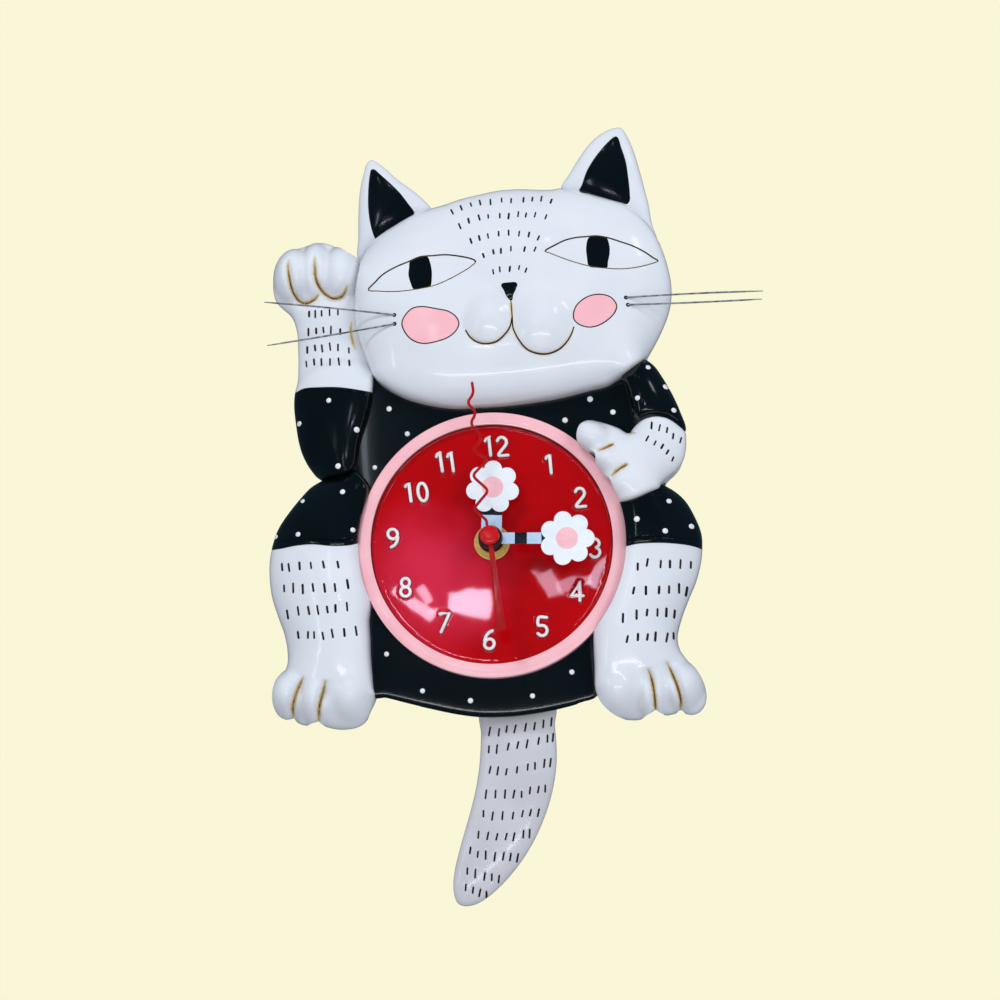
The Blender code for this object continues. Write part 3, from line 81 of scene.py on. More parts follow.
# ---------------------------------------------------------------- outlines, x,z
OUTLINE = {
    "ear_l": table("""
-61.4,132.5 -61.3,142.6 -61.3,153.3 -61.0,160.7 -60.2,166.9 -58.7,173.3 -57.7,176.5 -55.6,178.1
-53.0,177.0 -48.8,173.7 -43.6,168.8 -35.8,162.9 -31.1,158.5 -28.5,154.8 -35.6,147.4 -49.1,138.3
-58.1,130.6"""),
    "ear_r": table("""
30.2,163.6 33.7,170.1 38.3,177.7 42.3,183.3 46.4,187.4 51.6,190.5 54.5,191.4 57.3,191.3 59.6,188.1
62.5,181.5 65.8,170.2 68.0,161.3 69.2,156.6 70.8,147.2 73.1,140.1 74.4,134.4 65.5,139.1 52.1,150.8
38.7,157.9"""),
    "torso": table("""
-53.7,34.1 -53.5,-6.3 -52.4,-46.4 -51.5,-66.5 -45.2,-68.0 -36.5,-70.6 -25.6,-73.2 -14.6,-75.5
-4.5,-76.7 7.2,-76.6 18.1,-75.4 29.0,-73.3 38.4,-70.7 45.0,-67.5 44.9,-42.7 51.5,-25.0 69.2,-7.4
75.5,19.3 75.7,46.2 69.7,73.4 47.6,82.7 3.1,87.8 -32.5,83.6 -48.1,74.7 -53.8,56.7"""),
    "leg_l": table("""
-68.6,33.3 -76.2,29.8 -81.2,26.7 -85.8,21.7 -91.8,14.0 -95.6,7.8 -98.2,-0.3 -99.2,-6.9 -99.1,-14.6
-98.0,-22.4 -95.3,-30.8 -92.5,-38.5 -90.9,-46.2 -90.9,-52.4 -92.6,-56.4 -95.0,-60.2 -96.4,-66.1
-96.0,-71.8 -94.0,-75.4 -90.4,-77.0 -88.0,-75.9 -86.6,-77.5 -84.3,-78.8 -81.6,-79.2 -78.9,-78.6
-77.0,-77.7 -75.3,-78.9 -72.6,-80.1 -67.4,-81.0 -62.0,-80.7 -58.2,-79.4 -55.4,-76.9 -53.4,-72.6
-52.0,-69.2 -51.5,-66.4 -52.1,-63.9 -52.7,-57.5 -53.3,-50.0 -53.6,-41.9 -54.0,-34.3 -53.1,-25.8
-55.8,-14.1 -57.6,-5.1 -57.2,6.1 -54.6,17.3 -54.2,25.4 -59.6,32.3"""),
    "leg_r": table("""
64.9,29.2 73.9,25.9 79.6,23.9 84.9,19.3 89.4,11.5 91.9,4.5 92.2,-1.7 91.6,-7.8 89.5,-16.2
86.0,-24.7 82.9,-33.1 81.0,-41.5 82.1,-46.8 85.8,-52.2 89.9,-57.5 92.8,-63.3 93.5,-67.8 92.7,-71.4
90.2,-74.5 86.8,-75.6 84.2,-75.0 82.2,-73.8 79.4,-75.1 75.8,-75.8 73.0,-75.3 71.2,-74.2 69.4,-75.4
67.0,-76.8 63.6,-77.7 59.4,-77.7 55.1,-76.9 51.0,-74.6 47.6,-71.0 45.8,-67.4 44.9,-64.1 44.6,-54.2
44.2,-42.7 44.7,-35.5 49.5,-24.9 54.0,-12.8 56.3,-1.7 55.9,11.8 54.2,22.6 57.8,27.9"""),
    "arm_l": table("""
-61.3,130.7 -64.6,132.1 -68.0,134.7 -73.0,137.7 -78.0,138.6 -84.7,137.0 -92.2,134.1 -97.1,128.2
-98.9,121.4 -98.7,115.5 -97.0,111.2 -94.0,108.2 -91.1,105.6 -89.4,102.6 -88.1,97.5 -87.6,89.9
-87.4,81.5 -87.7,74.7 -88.7,70.5 -89.1,63.8 -88.2,55.4 -86.9,47.8 -85.1,41.9 -81.4,35.2 -76.4,30.1
-70.2,30.3 -63.6,31.7 -60.7,35.0 -59.1,45.0 -55.9,55.9 -53.9,65.1 -53.1,70.1 -52.9,75.1 -53.5,84.1
-55.8,96.5 -56.8,108.0 -56.9,119.4 -58.3,127.3"""),
    "sleeve_r": table("""
65.3,84.3 68.3,82.1 71.9,79.1 76.2,72.7 80.0,65.8 82.8,59.4 85.4,50.5 82.8,48.0 71.8,50.8 62.5,53.6
60.8,61.5 59.3,67.4 56.4,75.8 59.1,82.6"""),
    "head": table("""
-28.2,153.8 -22.6,155.3 -14.9,157.9 -7.1,159.8 3.2,161.8 11.9,162.2 25.8,161.8 30.3,162.5
38.4,160.8 47.8,158.1 59.4,154.3 65.6,149.6 71.0,142.6 75.4,133.4 78.6,122.3 79.5,114.9 79.1,108.2
77.6,102.1 74.6,94.8 71.0,87.8 67.6,82.4 61.3,77.0 54.2,72.9 50.6,71.1 42.9,69.3 29.8,66.1
17.9,64.2 5.9,62.8 -9.0,62.0 -16.5,61.9 -25.2,63.0 -33.8,65.1 -39.2,67.0 -45.7,70.4 -52.5,75.2
-56.5,80.7 -60.6,88.5 -62.9,95.3 -63.8,103.1 -63.9,112.3 -62.2,123.7 -59.1,132.9 -52.4,139.9
-44.3,146.0 -35.8,151.2"""),
    "paw_r": table("""
85.6,45.3 85.4,40.5 84.2,35.6 81.3,31.3 77.5,28.0 74.6,25.1 73.7,23.0 69.9,20.8 64.2,18.0 59.4,16.6
56.5,16.6 54.7,19.5 52.8,24.4 51.8,26.8 49.9,28.2 47.6,30.7 45.9,34.1 45.7,37.5 43.8,39.0 40.5,40.9
37.9,43.4 37.7,46.8 39.1,50.7 41.9,52.8 45.8,53.3 51.0,52.0 55.8,50.2 60.5,47.7 62.0,49.7 64.4,51.9
68.1,53.5 72.9,54.3 77.7,53.6 82.0,51.2 85.3,48.0"""),
    "tail": table("""
-5.7,-72.6 -5.7,-83.2 -6.3,-95.6 -7.8,-106.1 -9.9,-115.3 -12.7,-125.2 -15.1,-133.8 -17.0,-141.8
-17.8,-149.1 -17.2,-154.0 -15.7,-157.1 -12.6,-158.3 -7.7,-157.4 -2.2,-154.1 3.3,-149.2 8.8,-143.1
13.7,-136.4 18.0,-129.0 21.8,-120.5 24.9,-111.2 26.7,-102.6 27.5,-95.2 27.4,-86.6 26.8,-79.1
26.7,-70.3"""),
}

# ---------------------------------------------------------------- drawn points, across,up
EAR_LINING = {
    "ear_l": table("""
-56.8,145.3 -55.5,145.6 -52.7,143.3 -48.2,139.3 -44.1,135.2 -40.6,130.7 -37.8,126.9 -37.6,126.1
-39.1,124.9 -45.1,120.6 -50.2,117.3 -53.7,115.0 -54.7,114.8 -55.7,116.6 -57.2,122.1 -58.0,128.2
-58.1,133.2 -57.8,139.3 -57.2,143.8"""),
    "ear_r": table("""
50.8,160.1 51.9,159.5 53.3,155.3 55.3,149.2 56.4,142.4 57.1,135.7 57.1,131.7 55.8,130.1 53.9,130.6
46.6,132.6 39.3,134.6 34.8,136.0 35.9,138.5 38.1,144.7 41.0,149.7 44.4,154.2 47.7,157.8
49.9,159.7"""),
}
EYE_L = table("""
-57.9,92.4 -54.9,95.9 -51.7,99.1 -46.4,102.3 -40.5,104.8 -35.2,107.0 -29.9,107.5 -24.0,107.9
-18.7,107.4 -13.9,106.5 -11.2,105.5 -10.8,104.8 -12.8,102.8 -16.5,100.4 -22.4,97.2 -28.8,94.5
-35.2,93.1 -41.6,92.1 -48.0,91.7 -53.3,91.9""")
PUPIL_L = table("""
-39.7,104.8 -36.3,106.7 -32.0,107.1 -30.7,104.4 -30.0,100.7 -30.0,97.5 -30.7,94.0 -33.6,93.3
-37.9,92.7 -39.5,95.9 -40.3,99.1 -40.0,102.3""")
EYE_R = table("""
19.9,109.5 24.2,112.2 28.9,114.4 33.6,115.5 38.3,115.9 42.5,116.2 47.8,115.3 53.1,113.6 58.4,111.8
63.7,109.1 67.2,106.7 69.5,105.2 66.0,103.8 59.6,102.3 52.5,101.7 47.2,102.0 41.3,102.6 34.8,104.1
27.7,106.4 22.4,108.5""")
PUPIL_R = table("""
38.9,115.3 41.3,116.2 44.5,116.3 46.9,115.4 48.2,111.7 48.2,108.2 47.5,104.7 47.1,102.2 43.1,102.2
39.2,102.8 38.2,107.0 37.9,111.1""")
NOSE = table("""
0.4,94.6 0.9,95.3 3.9,95.8 7.1,95.8 7.7,95.0 7.1,92.9 5.9,90.5 5.3,87.9 4.4,87.9 2.7,89.9
1.8,92.0""")
CHEEK_L = table("""
-43.2,77.7 -41.6,81.5 -38.4,84.4 -34.1,85.1 -27.7,84.1 -22.9,83.1 -19.4,80.7 -18.1,77.7 -19.4,74.5
-22.9,71.6 -28.2,69.7 -33.6,68.9 -37.9,70.0 -41.3,73.0""")
CHEEK_R = table("""
32.3,81.7 33.4,85.2 36.6,88.4 40.7,90.2 45.4,90.4 48.9,89.1 51.3,85.8 50.7,82.9 47.8,79.6 43.1,76.8
38.9,76.1 34.8,77.3 32.7,79.3""")
MOUTH_MID = table("4.8,87.6 5.1,84.0 5.4,80.1")
MOUTH_L = table("5.3,80.4 4.3,76.1 1.6,72.4 -2.1,69.5 -6.4,68.7 -10.1,69.5 -13.1,71.6 -15.2,74.8")
MOUTH_R = table("""
5.4,80.1 5.6,76.4 5.9,75.2 8.3,70.5 11.8,66.4 16.0,64.6 20.7,64.3 25.4,66.0 28.9,69.0 31.3,72.8
32.6,76.3""")
HEM = {        # where white fur ends and the black suit begins
    "leg_l": table("""
-103.8,-22.9 -99.9,-22.0 -95.7,-21.3 -90.5,-20.2 -82.9,-19.5 -73.8,-20.2 -66.2,-19.9 -61.8,-19.0
-55.0,-18.0"""),
    "leg_r": table("""
49.3,-20.7 56.2,-20.2 59.6,-19.4 68.7,-18.8 79.3,-19.4 85.4,-20.5 89.0,-21.8 92.4,-22.9"""),
    "arm_l": table("""
-93.3,46.6 -90.1,47.2 -86.4,49.0 -79.1,49.6 -70.9,49.6 -64.4,48.8 -55.1,47.2 -51.0,46.6"""),
}
TOE_GAPS = {   # two lines between the toes of each paw
    "leg_l": (table("-86.1,-77.4 -88.6,-82.3 -90.5,-87.6 -91.2,-92.1 -90.8,-96.1"),
              table("-76.6,-78.8 -77.9,-84.5 -79.5,-90.6 -79.8,-97.9")),
    "leg_r": (table("64.9,-73.6 66.8,-79.2 67.9,-85.3 68.5,-93.3"),
              table("72.9,-70.5 75.7,-76.2 78.4,-83.0 79.6,-88.4 79.3,-93.0")),
    "arm_l": (table("""-93.1,106.6 -93.3,102.5 -92.5,96.8 -91.3,92.0 -88.7,87.9 -85.6,86.5
                    -81.5,88.3 -79.1,91.1"""),
              table("""-81.4,108.2 -81.5,103.4 -81.1,97.6 -79.5,93.6 -76.6,90.3 -73.4,88.7
                    -69.3,89.9 -66.9,95.2""")),
    "paw_r": (table("42.9,21.6 46.6,23.1 50.5,25.0"),
              table("48.8,10.4 52.4,13.6 56.7,16.1")),
}
PAW_R_CREASE = table("57.2,29.5 60.1,29.5")
ARM_L_CREASE = table("-65.3,79.2 -65.6,74.0 -64.6,69.0 -63.2,65.4")
DOTS = table("""
-75.3,43.7 -88.3,33.4 -63.0,30.8 -71.2,14.8 -48.8,40.1 -40.8,29.1 -55.1,14.3 39.6,44.4 49.7,38.7
28.6,35.1 -49.9,-67.8 -34.1,-84.0 -13.0,-88.3 14.3,-86.2 31.6,-75.7 65.2,58.4 73.0,49.8 60.5,44.9
76.5,39.5 -69.2,3.5 -86.8,-0.6 -88.8,-15.2 -64.7,-13.3 -98.6,-16.4 74.4,-0.6 60.2,-8.5 84.3,-11.7
72.7,-13.7""")
# middles of the short fur dashes
HEAD_ROWS = [
    table("""-21.1,126.8 -17.1,128.6 -12.8,130.0 -8.8,130.9 -4.2,131.1 0.7,132.0 4.9,131.7
          10.3,132.1 14.2,132.4 18.2,132.6 22.5,131.5"""),
    table("""-17.7,120.5 -13.8,122.9 -9.2,124.3 -5.2,124.8 -0.1,125.1 3.8,124.9 8.0,125.8
          11.4,125.4 15.4,125.5 20.2,124.6"""),
    table("-12.8,114.0 -9.1,115.3 -5.3,116.2 -0.6,117.2 3.8,117.6 8.4,117.2 12.7,116.8 16.9,115.3"),
    table("-7.3,107.6 -2.9,109.2 0.4,109.6 4.8,110.6 10.8,110.4 15.4,110.4"),
    table("-3.0,100.4 -0.1,101.5 4.3,101.7 8.4,102.3 11.4,101.1"),
]
ARM_DASHES = table("""
-84.0,81.8 -81.3,81.8 -78.5,82.1 -75.0,82.5 -71.3,82.7 -84.3,73.9 -80.9,74.4 -77.7,74.8 -74.4,74.8
-70.3,74.1 -84.8,66.0 -81.4,66.9 -78.3,66.7 -74.8,67.5 -71.3,67.1 -66.5,65.8 -85.2,59.8 -81.8,60.7
-78.6,60.7 -74.8,60.7 -70.9,60.9 -66.3,60.3""")
PAW_DASHES_UPPER = table("66.7,32.8 70.2,31.8 73.5,30.8 76.2,28.1 79.5,26.3")
PAW_DASHES_LOWER = table("64.8,27.1 68.2,25.1 71.4,23.6 73.7,21.1 76.0,18.0")
LEG_L_DASHES = table("""
-95.9,-29.5 -92.9,-29.7 -88.2,-29.0 -83.2,-28.8 -77.7,-28.4 -71.3,-28.4 -95.0,-38.9 -91.0,-38.7
-86.8,-39.2 -82.3,-38.5 -77.2,-38.7 -72.6,-38.5 -67.0,-37.0 -93.5,-50.4 -88.8,-48.8 -84.2,-48.6
-80.2,-48.4 -76.0,-48.2 -72.4,-47.7 -67.3,-46.9 -88.8,-59.4 -84.5,-59.4 -81.8,-59.4 -77.9,-59.8
-73.8,-58.7 -68.5,-58.3 -63.3,-57.6""")
LEG_R_DASHES = table("""
60.6,-29.3 64.8,-27.5 70.7,-28.2 74.8,-28.2 79.4,-28.2 84.0,-28.6 58.8,-39.8 64.2,-39.8 70.0,-39.6
74.4,-39.4 78.8,-38.9 82.1,-40.3 54.1,-51.9 60.1,-50.4 64.7,-49.5 69.3,-49.5 73.2,-49.5 76.8,-50.2
56.0,-61.2 60.7,-60.3 64.9,-60.3 68.4,-60.1 73.5,-60.5 76.4,-59.8""")
TAIL_DASHES = table("""
-4.6,-101.8 -0.5,-102.2 2.9,-100.8 6.6,-100.7 11.2,-100.0 15.2,-99.5 19.1,-98.5 22.6,-97.6
-4.9,-109.7 -1.4,-109.6 3.6,-108.5 7.8,-107.8 11.9,-107.3 17.0,-106.0 20.9,-105.0 23.3,-104.5
-4.4,-118.7 -1.0,-119.2 2.8,-119.6 7.5,-118.7 12.2,-117.5 15.4,-117.0 19.5,-115.9 22.2,-115.6
-6.2,-129.5 -2.0,-129.4 2.2,-129.4 6.1,-129.4 9.5,-129.5 13.2,-127.8 16.9,-127.4 19.9,-127.0
-7.3,-138.0 -3.3,-139.1 1.1,-138.9 5.7,-138.9 9.9,-138.0 13.4,-137.6 16.9,-137.6 -9.5,-147.3
-5.4,-147.8 -1.4,-148.2 2.7,-148.1 6.1,-148.2 10.3,-147.1 13.0,-146.8 -13.1,-154.2 -9.8,-155.9
-6.3,-156.3 -2.3,-157.0 1.5,-156.8 4.6,-157.1 7.7,-157.5 -14.4,-163.3 -10.9,-164.4 -6.8,-165.7
-3.6,-166.0 -0.5,-166.8 -15.1,-170.5 -11.9,-171.7 -8.9,-172.9 -6.0,-173.6""")

# ---------------------------------------------------------------- line of sight
AZIMUTH = math.radians(3.2)
ELEVATION = math.radians(-10.0)
CAM_RANGE = 1800.0
VIEW_WIDTH = 440.0       # width seen at the target
# these points and directions are (x, y, z) from the arbor
TARGET = np.array([3.52, -27.0, 18.8])
CAM_AT = TARGET + CAM_RANGE * np.array([math.sin(AZIMUTH) * math.cos(ELEVATION),
                                        -math.cos(AZIMUTH) * math.cos(ELEVATION),
                                        math.sin(ELEVATION)])
FORWARD = (TARGET - CAM_AT) / CAM_RANGE
RIGHT = np.cross(FORWARD, [0.0, 0.0, 1.0])
RIGHT /= norm(RIGHT)
UP = np.cross(RIGHT, FORWARD)


def sight(drawn, height):
    """Places where the lines of sight through drawn points meet a height."""
    drawn = np.atleast_2d(np.array(drawn, float))
    rays = FORWARD * CAM_RANGE + drawn[:, :1] * RIGHT + drawn[:, 1:] * UP
    share = (-np.asarray(height, float) - CAM_AT[1]) / rays[:, 1]
    return (CAM_AT + rays * share[:, None])[:, [0, 2]]


def laid(drawn, height_at, first=26.0):
    """Drawn points laid on a surface, found by going back and forth from a first height."""
    height = np.full(len(drawn), first)
    for _ in range(7):
        height = height_at(sight(drawn, height))
    return sight(drawn, height)


# ---------------------------------------------------------------- plane geometry
def between_knots(time, low, high, start, end):
    return (high - time) / (high - low) * start + (time - low) / (high - low) * end


def spline(points, closed=True, step=0.7):
    """Centripetal spline through points, sampled about every step."""
    knots = np.array(points, float)
    count = len(knots)
    pieces = []
    for i in range(count if closed else count - 1):
        start, end = knots[i], knots[(i + 1) % count]
        before = knots[i - 1] if closed or i > 0 else 2 * start - end
        after = knots[(i + 2) % count] if closed or i < count - 2 else 2 * end - start
        time1 = max(norm(start - before), 1e-6) ** 0.5
        time2 = time1 + max(norm(end - start), 1e-6) ** 0.5
        time3 = time2 + max(norm(after - end), 1e-6) ** 0.5
        splits = max(1, int(round(norm(end - start) / step)))
        time = (time1 + (time2 - time1) * np.arange(splits) / splits)[:, None]
        first = between_knots(time, 0, time1, before, start)
        middle = between_knots(time, time1, time2, start, end)
        last = between_knots(time, time2, time3, end, after)
        early = between_knots(time, 0, time2, first, middle)
        late = between_knots(time, time1, time3, middle, last)
        pieces.append(between_knots(time, time1, time2, early, late))
    if not closed:
        pieces.append(knots[-1:])
    return np.concatenate(pieces)


def normals(line, closed):
    """Unit normals to the left of a line."""
    if closed:
        along = np.roll(line, -1, 0) - np.roll(line, 1, 0)
    else:
        along = np.gradient(line, axis=0)
    along /= np.maximum(norm(along, axis=1), 1e-9)[:, None]
    return np.stack([-along[:, 1], along[:, 0]], 1)


def inset(outline, amount):
    """Closed outline moved inwards."""
    ahead = np.roll(outline, -1, 0)
    area = np.sum(outline[:, 0] * ahead[:, 1] - ahead[:, 0] * outline[:, 1])
    turn = 1.0 if area > 0 else -1.0
    return outline + normals(outline, True) * turn * amount


def inside(outline, places):
    low, high = outline.min(0), outline.max(0)
    result = np.zeros(len(places), bool)
    found = np.nonzero((places[:, 0] >= low[0]) & (places[:, 0] <= high[0])
                       & (places[:, 1] >= low[1]) & (places[:, 1] <= high[1]))[0]
    found = found[np.argsort(places[found, 1], kind="stable")]
    x, z = places[found, 0], places[found, 1]
    odd = np.zeros(len(found), bool)
    for (x1, z1), (x2, z2) in zip(outline, np.roll(outline, -1, 0)):
        if z1 == z2:
            continue
        first, last = np.searchsorted(z, [min(z1, z2), max(z1, z2)], side="left")
        if last > first:
            crossing = (x2 - x1) * (z[first:last] - z1) / (z2 - z1) + x1
            odd[first:last] ^= x[first:last] < crossing
    result[found] = odd
    return result


def circle(centre, radius, count):
    angle = 2 * np.pi * np.arange(count) / count
    return np.stack([centre[0] + radius * np.cos(angle), centre[1] + radius * np.sin(angle)], 1)


def capsule(line, radius, cap_steps=5):
    """Outline round an open line, with round ends."""
    line = np.asarray(line, float)
    side = normals(line, False)

    def cap(centre, start):
        angles = [start - math.pi * k / cap_steps for k in range(1, cap_steps)]
        return [centre + radius * np.array([math.cos(a), math.sin(a)]) for a in angles]

    end_cap = cap(line[-1], math.atan2(side[-1, 1], side[-1, 0]))
    start_cap = cap(line[0], math.atan2(-side[0, 1], -side[0, 0]))
    return np.concatenate([line + side * radius, end_cap, (line - side * radius)[::-1], start_cap])


class Cloud:
    """Places that can be asked for their distance to a line."""

    def __init__(self, places):
        self.places = places
        self.order = np.argsort(places[:, 0], kind="stable")
        self.sorted_x = places[self.order, 0]

    def near(self, line, closed, reach):
        """(index, distance, share along the line) of the places within reach of it."""
        best = np.full(len(self.places), float(reach))
        share = np.zeros(len(self.places))
        starts = np.asarray(line, float)
        ends = np.roll(starts, -1, 0)
        if not closed:
            starts, ends = starts[:-1], ends[:-1]
        lengths = norm(ends - starts, axis=1)
        passed = np.concatenate([[0], np.cumsum(lengths)])
        total = max(passed[-1], 1e-9)
        for start, end, length, before in zip(starts, ends, lengths, passed):
            window = [min(start[0], end[0]) - reach, max(start[0], end[0]) + reach]
            first, last = np.searchsorted(self.sorted_x, window)
            found = self.order[first:last]
            offset = self.places[found] - start
            rise = end[1] - start[1]
            keep = (offset[:, 1] > min(0, rise) - reach) & (offset[:, 1] < max(0, rise) + reach)
            found, offset = found[keep], offset[keep]
            if not len(found):
                continue
            along = (end - start) / max(length, 1e-9)
            run = np.clip(offset @ along, 0, length)
            distance = np.hypot(offset[:, 0] - run * along[0], offset[:, 1] - run * along[1])
            closer = distance < best[found]
            best[found[closer]] = distance[closer]
            share[found[closer]] = (before + run[closer]) / total
        hit = np.nonzero(best < reach)[0]
        return hit, best[hit], share[hit]

    def distance(self, outline, reach):
        """Distance of every place to a closed outline, no more than reach."""
        result = np.full(len(self.places), float(reach))
        hit, distance, _ = self.near(outline, True, reach)
        result[hit] = distance
        return result


# ---------------------------------------------------------------- height grids
class Grid:
    def __init__(self, left, right, bottom, top):
        self.left, self.bottom = left, bottom
        self.columns = int(round((right - left) / CELL)) + 1
        self.rows = int(round((top - bottom) / CELL)) + 1
        x, z = np.meshgrid(left + CELL * np.arange(self.columns),
                           bottom + CELL * np.arange(self.rows))
        self.shape = x.shape
        self.places = np.stack([x.ravel(), z.ravel()], 1)

    def sample(self, field, places):
        """Bilinear value of a field."""
        column = np.clip((places[:, 0] - self.left) / CELL, 0, self.columns - 1.001)
        row = np.clip((places[:, 1] - self.bottom) / CELL, 0, self.rows - 1.001)
        i, j = column.astype(int), row.astype(int)
        right, up = column - i, row - j
        lower = field[j, i] * (1 - right) + field[j, i + 1] * right
        upper = field[j + 1, i] * (1 - right) + field[j + 1, i + 1] * right
        return lower * (1 - up) + upper * up


def box_blur(field, radius, axis):
    field = np.moveaxis(field, axis, 0)
    padded = np.concatenate([np.repeat(field[:1], radius + 1, 0), field,
                             np.repeat(field[-1:], radius, 0)])
    total = np.cumsum(padded, 0)
    return np.moveaxis((total[2 * radius + 1:] - total[:-2 * radius - 1]) / (2 * radius + 1),
                       0, axis)


def blur(field, radius):
    for _ in range(3):
        field = box_blur(box_blur(field, radius, 0), radius, 1)
    return field


def relax(mask, held, source, cell, rounds=70):
    """A skin over mask, held to given values outside it and pressed up by source."""
    if min(mask.shape) > 44:
        coarse = relax(mask[::2, ::2], held[::2, ::2], source, 2 * cell, min(rounds * 2, 220))
        skin = np.zeros((coarse.shape[0] * 2, coarse.shape[1] * 2))
        skin[::2, ::2] = coarse
        skin[::2, 1:-1:2] = (coarse[:, :-1] + coarse[:, 1:]) / 2
        skin[::2, -1] = coarse[:, -1]
        skin[1:-1:2] = (skin[:-2:2] + skin[2::2]) / 2
        skin[-1] = skin[-2]
        skin = skin[:mask.shape[0], :mask.shape[1]]
    else:
        skin = np.where(mask, held[~mask].mean() if (~mask).any() else 0.0, held)
        rounds = 500
    skin = np.where(mask, skin, held)
    press = source * cell * cell / 4
    for _ in range(rounds):
        around = skin[:-2, 1:-1] + skin[2:, 1:-1] + skin[1:-1, :-2] + skin[1:-1, 2:]
        skin[1:-1, 1:-1] = np.where(mask[1:-1, 1:-1], 0.25 * around + press, skin[1:-1, 1:-1])
    return skin


FIGURE_GRID = Grid(-106.0, 100.0, -96.0, 200.0)
FIGURE_HEIGHT = np.zeros(FIGURE_GRID.shape)      # height of everything modelled so far


def surface(places):
    return FIGURE_GRID.sample(FIGURE_HEIGHT, places)


class Part:
    """A rounded pad: an edge height along its outline and a crown that rises inside it.

    lip is how far the edge stands over what lies below, crown how quickly the edge rounds over.
    """
    REACH = 12.0

    def __init__(self, outline, edge, rise, power=1.0, lip=0.8, crown=3.0, stack=True):
        self.outline = spline(outline)
        low, high = self.outline.min(0) - 5, self.outline.max(0) + 5
        low = np.round(low / CELL) * CELL
        self.grid = grid = Grid(low[0], high[0], low[1], high[1])
        mask = inside(self.outline, grid.places).reshape(grid.shape)
        distance = Cloud(grid.places).distance(self.outline, self.REACH).reshape(grid.shape)
        dome = relax(mask, np.zeros(grid.shape), 1.0, CELL)
        # the dome without its steep edge, which height() puts back at full sharpness
        rounding = 1 - np.exp(-distance / crown)
        body = np.where(mask, dome / np.maximum(rounding, 0.08), 0)
        near = mask & (distance > 0.6)
        self.body = blur(np.where(near, body, 0), 3) / np.maximum(blur(near.astype(float), 3), 1e-6)
        below = surface(grid.places).reshape(grid.shape) if stack else np.zeros(grid.shape)
        held = blur(np.maximum(edge, np.where(below > 1, below + lip, 0)), 5)
        held = np.maximum(held, np.where(below > 1, below + 0.4, edge))
        self.edge = relax(mask, held, 0.0, CELL)
        self.dome_top = math.sqrt(4 * dome.max())
        self.rise, self.power, self.crown = rise, power, crown
        self.reliefs = []

    def height(self, places):
        distance = Cloud(places).distance(self.outline, self.REACH)
        return self._raised(places, np.where(inside(self.outline, places), distance, 0))

    def height_inside(self, places):
        """Height at places known to lie inside the outline or on it."""
        return self._raised(places, Cloud(places).distance(self.outline, self.REACH))

    def _raised(self, places, distance):
        dome = 4 * self.grid.sample(self.body, places) * (1 - np.exp(-distance / self.crown))
        dome = np.sqrt(np.maximum(dome, 0))
        height = (self.grid.sample(self.edge, places)
                  + self.rise * (dome / self.dome_top) ** self.power)
        for relief in self.reliefs:
            height = relief(height, places)
        return height

    def settle(self):
        """Writes this part over what lies below it."""
        places = self.grid.places
        covered = inside(self.outline, places)
        height = self.height(places)
        i = np.round((places[:, 0] - FIGURE_GRID.left) / CELL).astype(int)
        j = np.round((places[:, 1] - FIGURE_GRID.bottom) / CELL).astype(int)
        covered &= (i >= 0) & (i < FIGURE_GRID.columns) & (j >= 0) & (j < FIGURE_GRID.rows)
        FIGURE_HEIGHT[j[covered], i[covered]] = height[covered]


def smooth_max(first, second, softness):
    return 0.5 * (first + second + np.sqrt((first - second) ** 2 + softness * softness))


def mound(centre, radii, top, base, power, softness, spin=0.0):
    """A rounded lump that grows smoothly out of the surface round it."""
    cosine, sine = math.cos(math.radians(spin)), math.sin(math.radians(spin))

    def relief(height, places):
        x, z = places[:, 0] - centre[0], places[:, 1] - centre[1]
        major = (x * cosine + z * sine) / radii[0]
        minor = (-x * sine + z * cosine) / radii[1]
        square = major * major + minor * minor
        lump = np.where(square < 1, base + (top - base) * np.maximum(1 - square, 0) ** power,
                        base - 6 * (square - 1))
        return np.where(square < 4, smooth_max(height, lump, softness), height)
    return relief


def fading(share, fade, power=1.0):
    """Strength along a line that fades over its first and last shares."""
    strength = np.ones(len(share))
    if fade[0]:
        strength *= np.clip(share / fade[0], 0, 1) ** power
    if fade[1]:
        strength *= np.clip((1 - share) / fade[1], 0, 1) ** power
    return strength


def add_furrow(part, drawn, depth, width, fade):
    """A soft valley between two toes of a part."""
    line = laid(spline(drawn, False, 2.0), part.height)

    def relief(height, places):
        hit, distance, share = Cloud(places).near(line, False, width * 2.6)
        strength = fading(share, fade, 0.8)
        height = height.copy()
        height[hit] -= depth * strength * np.exp(-(distance / width) ** 1.35)
        return height
    part.reliefs.append(relief)


# ---------------------------------------------------------------- materials
MATERIALS = {}


def rgb(red, green, blue):
    """Linear colour from 0..255 display values."""
    linear = []
    for value in (red, green, blue):
        value /= 255.0
        linear.append(value / 12.92 if value <= 0.04045 else ((value + 0.055) / 1.055) ** 2.4)
    return (*linear, 1.0)


def add_node(tree, kind, inputs=None, **settings):
    """New shader node. Each input gets either a value or the socket that feeds it."""
    node = tree.nodes.new("ShaderNode" + kind)
    for key, value in settings.items():
        setattr(node, key, value)
    for key, value in (inputs or {}).items():
        if isinstance(value, bpy.types.NodeSocket):
            tree.links.new(value, node.inputs[key])
        else:
            node.inputs[key].default_value = value
    return node


def fill_ramp(ramp, stops):
    """Sets rising (position, colour) stops on a new colour ramp."""
    elements = ramp.color_ramp.elements
    for k, (position, colour) in enumerate(stops):
        element = elements[k] if k < 2 else elements.new(position)
        element.position = position
        element.color = colour


def mixed(tree, factor, low, high):
    """Socket of a colour mix."""
    return add_node(tree, "Mix", {"Factor": factor, "A": low, "B": high},
                    data_type="RGBA").outputs["Result"]


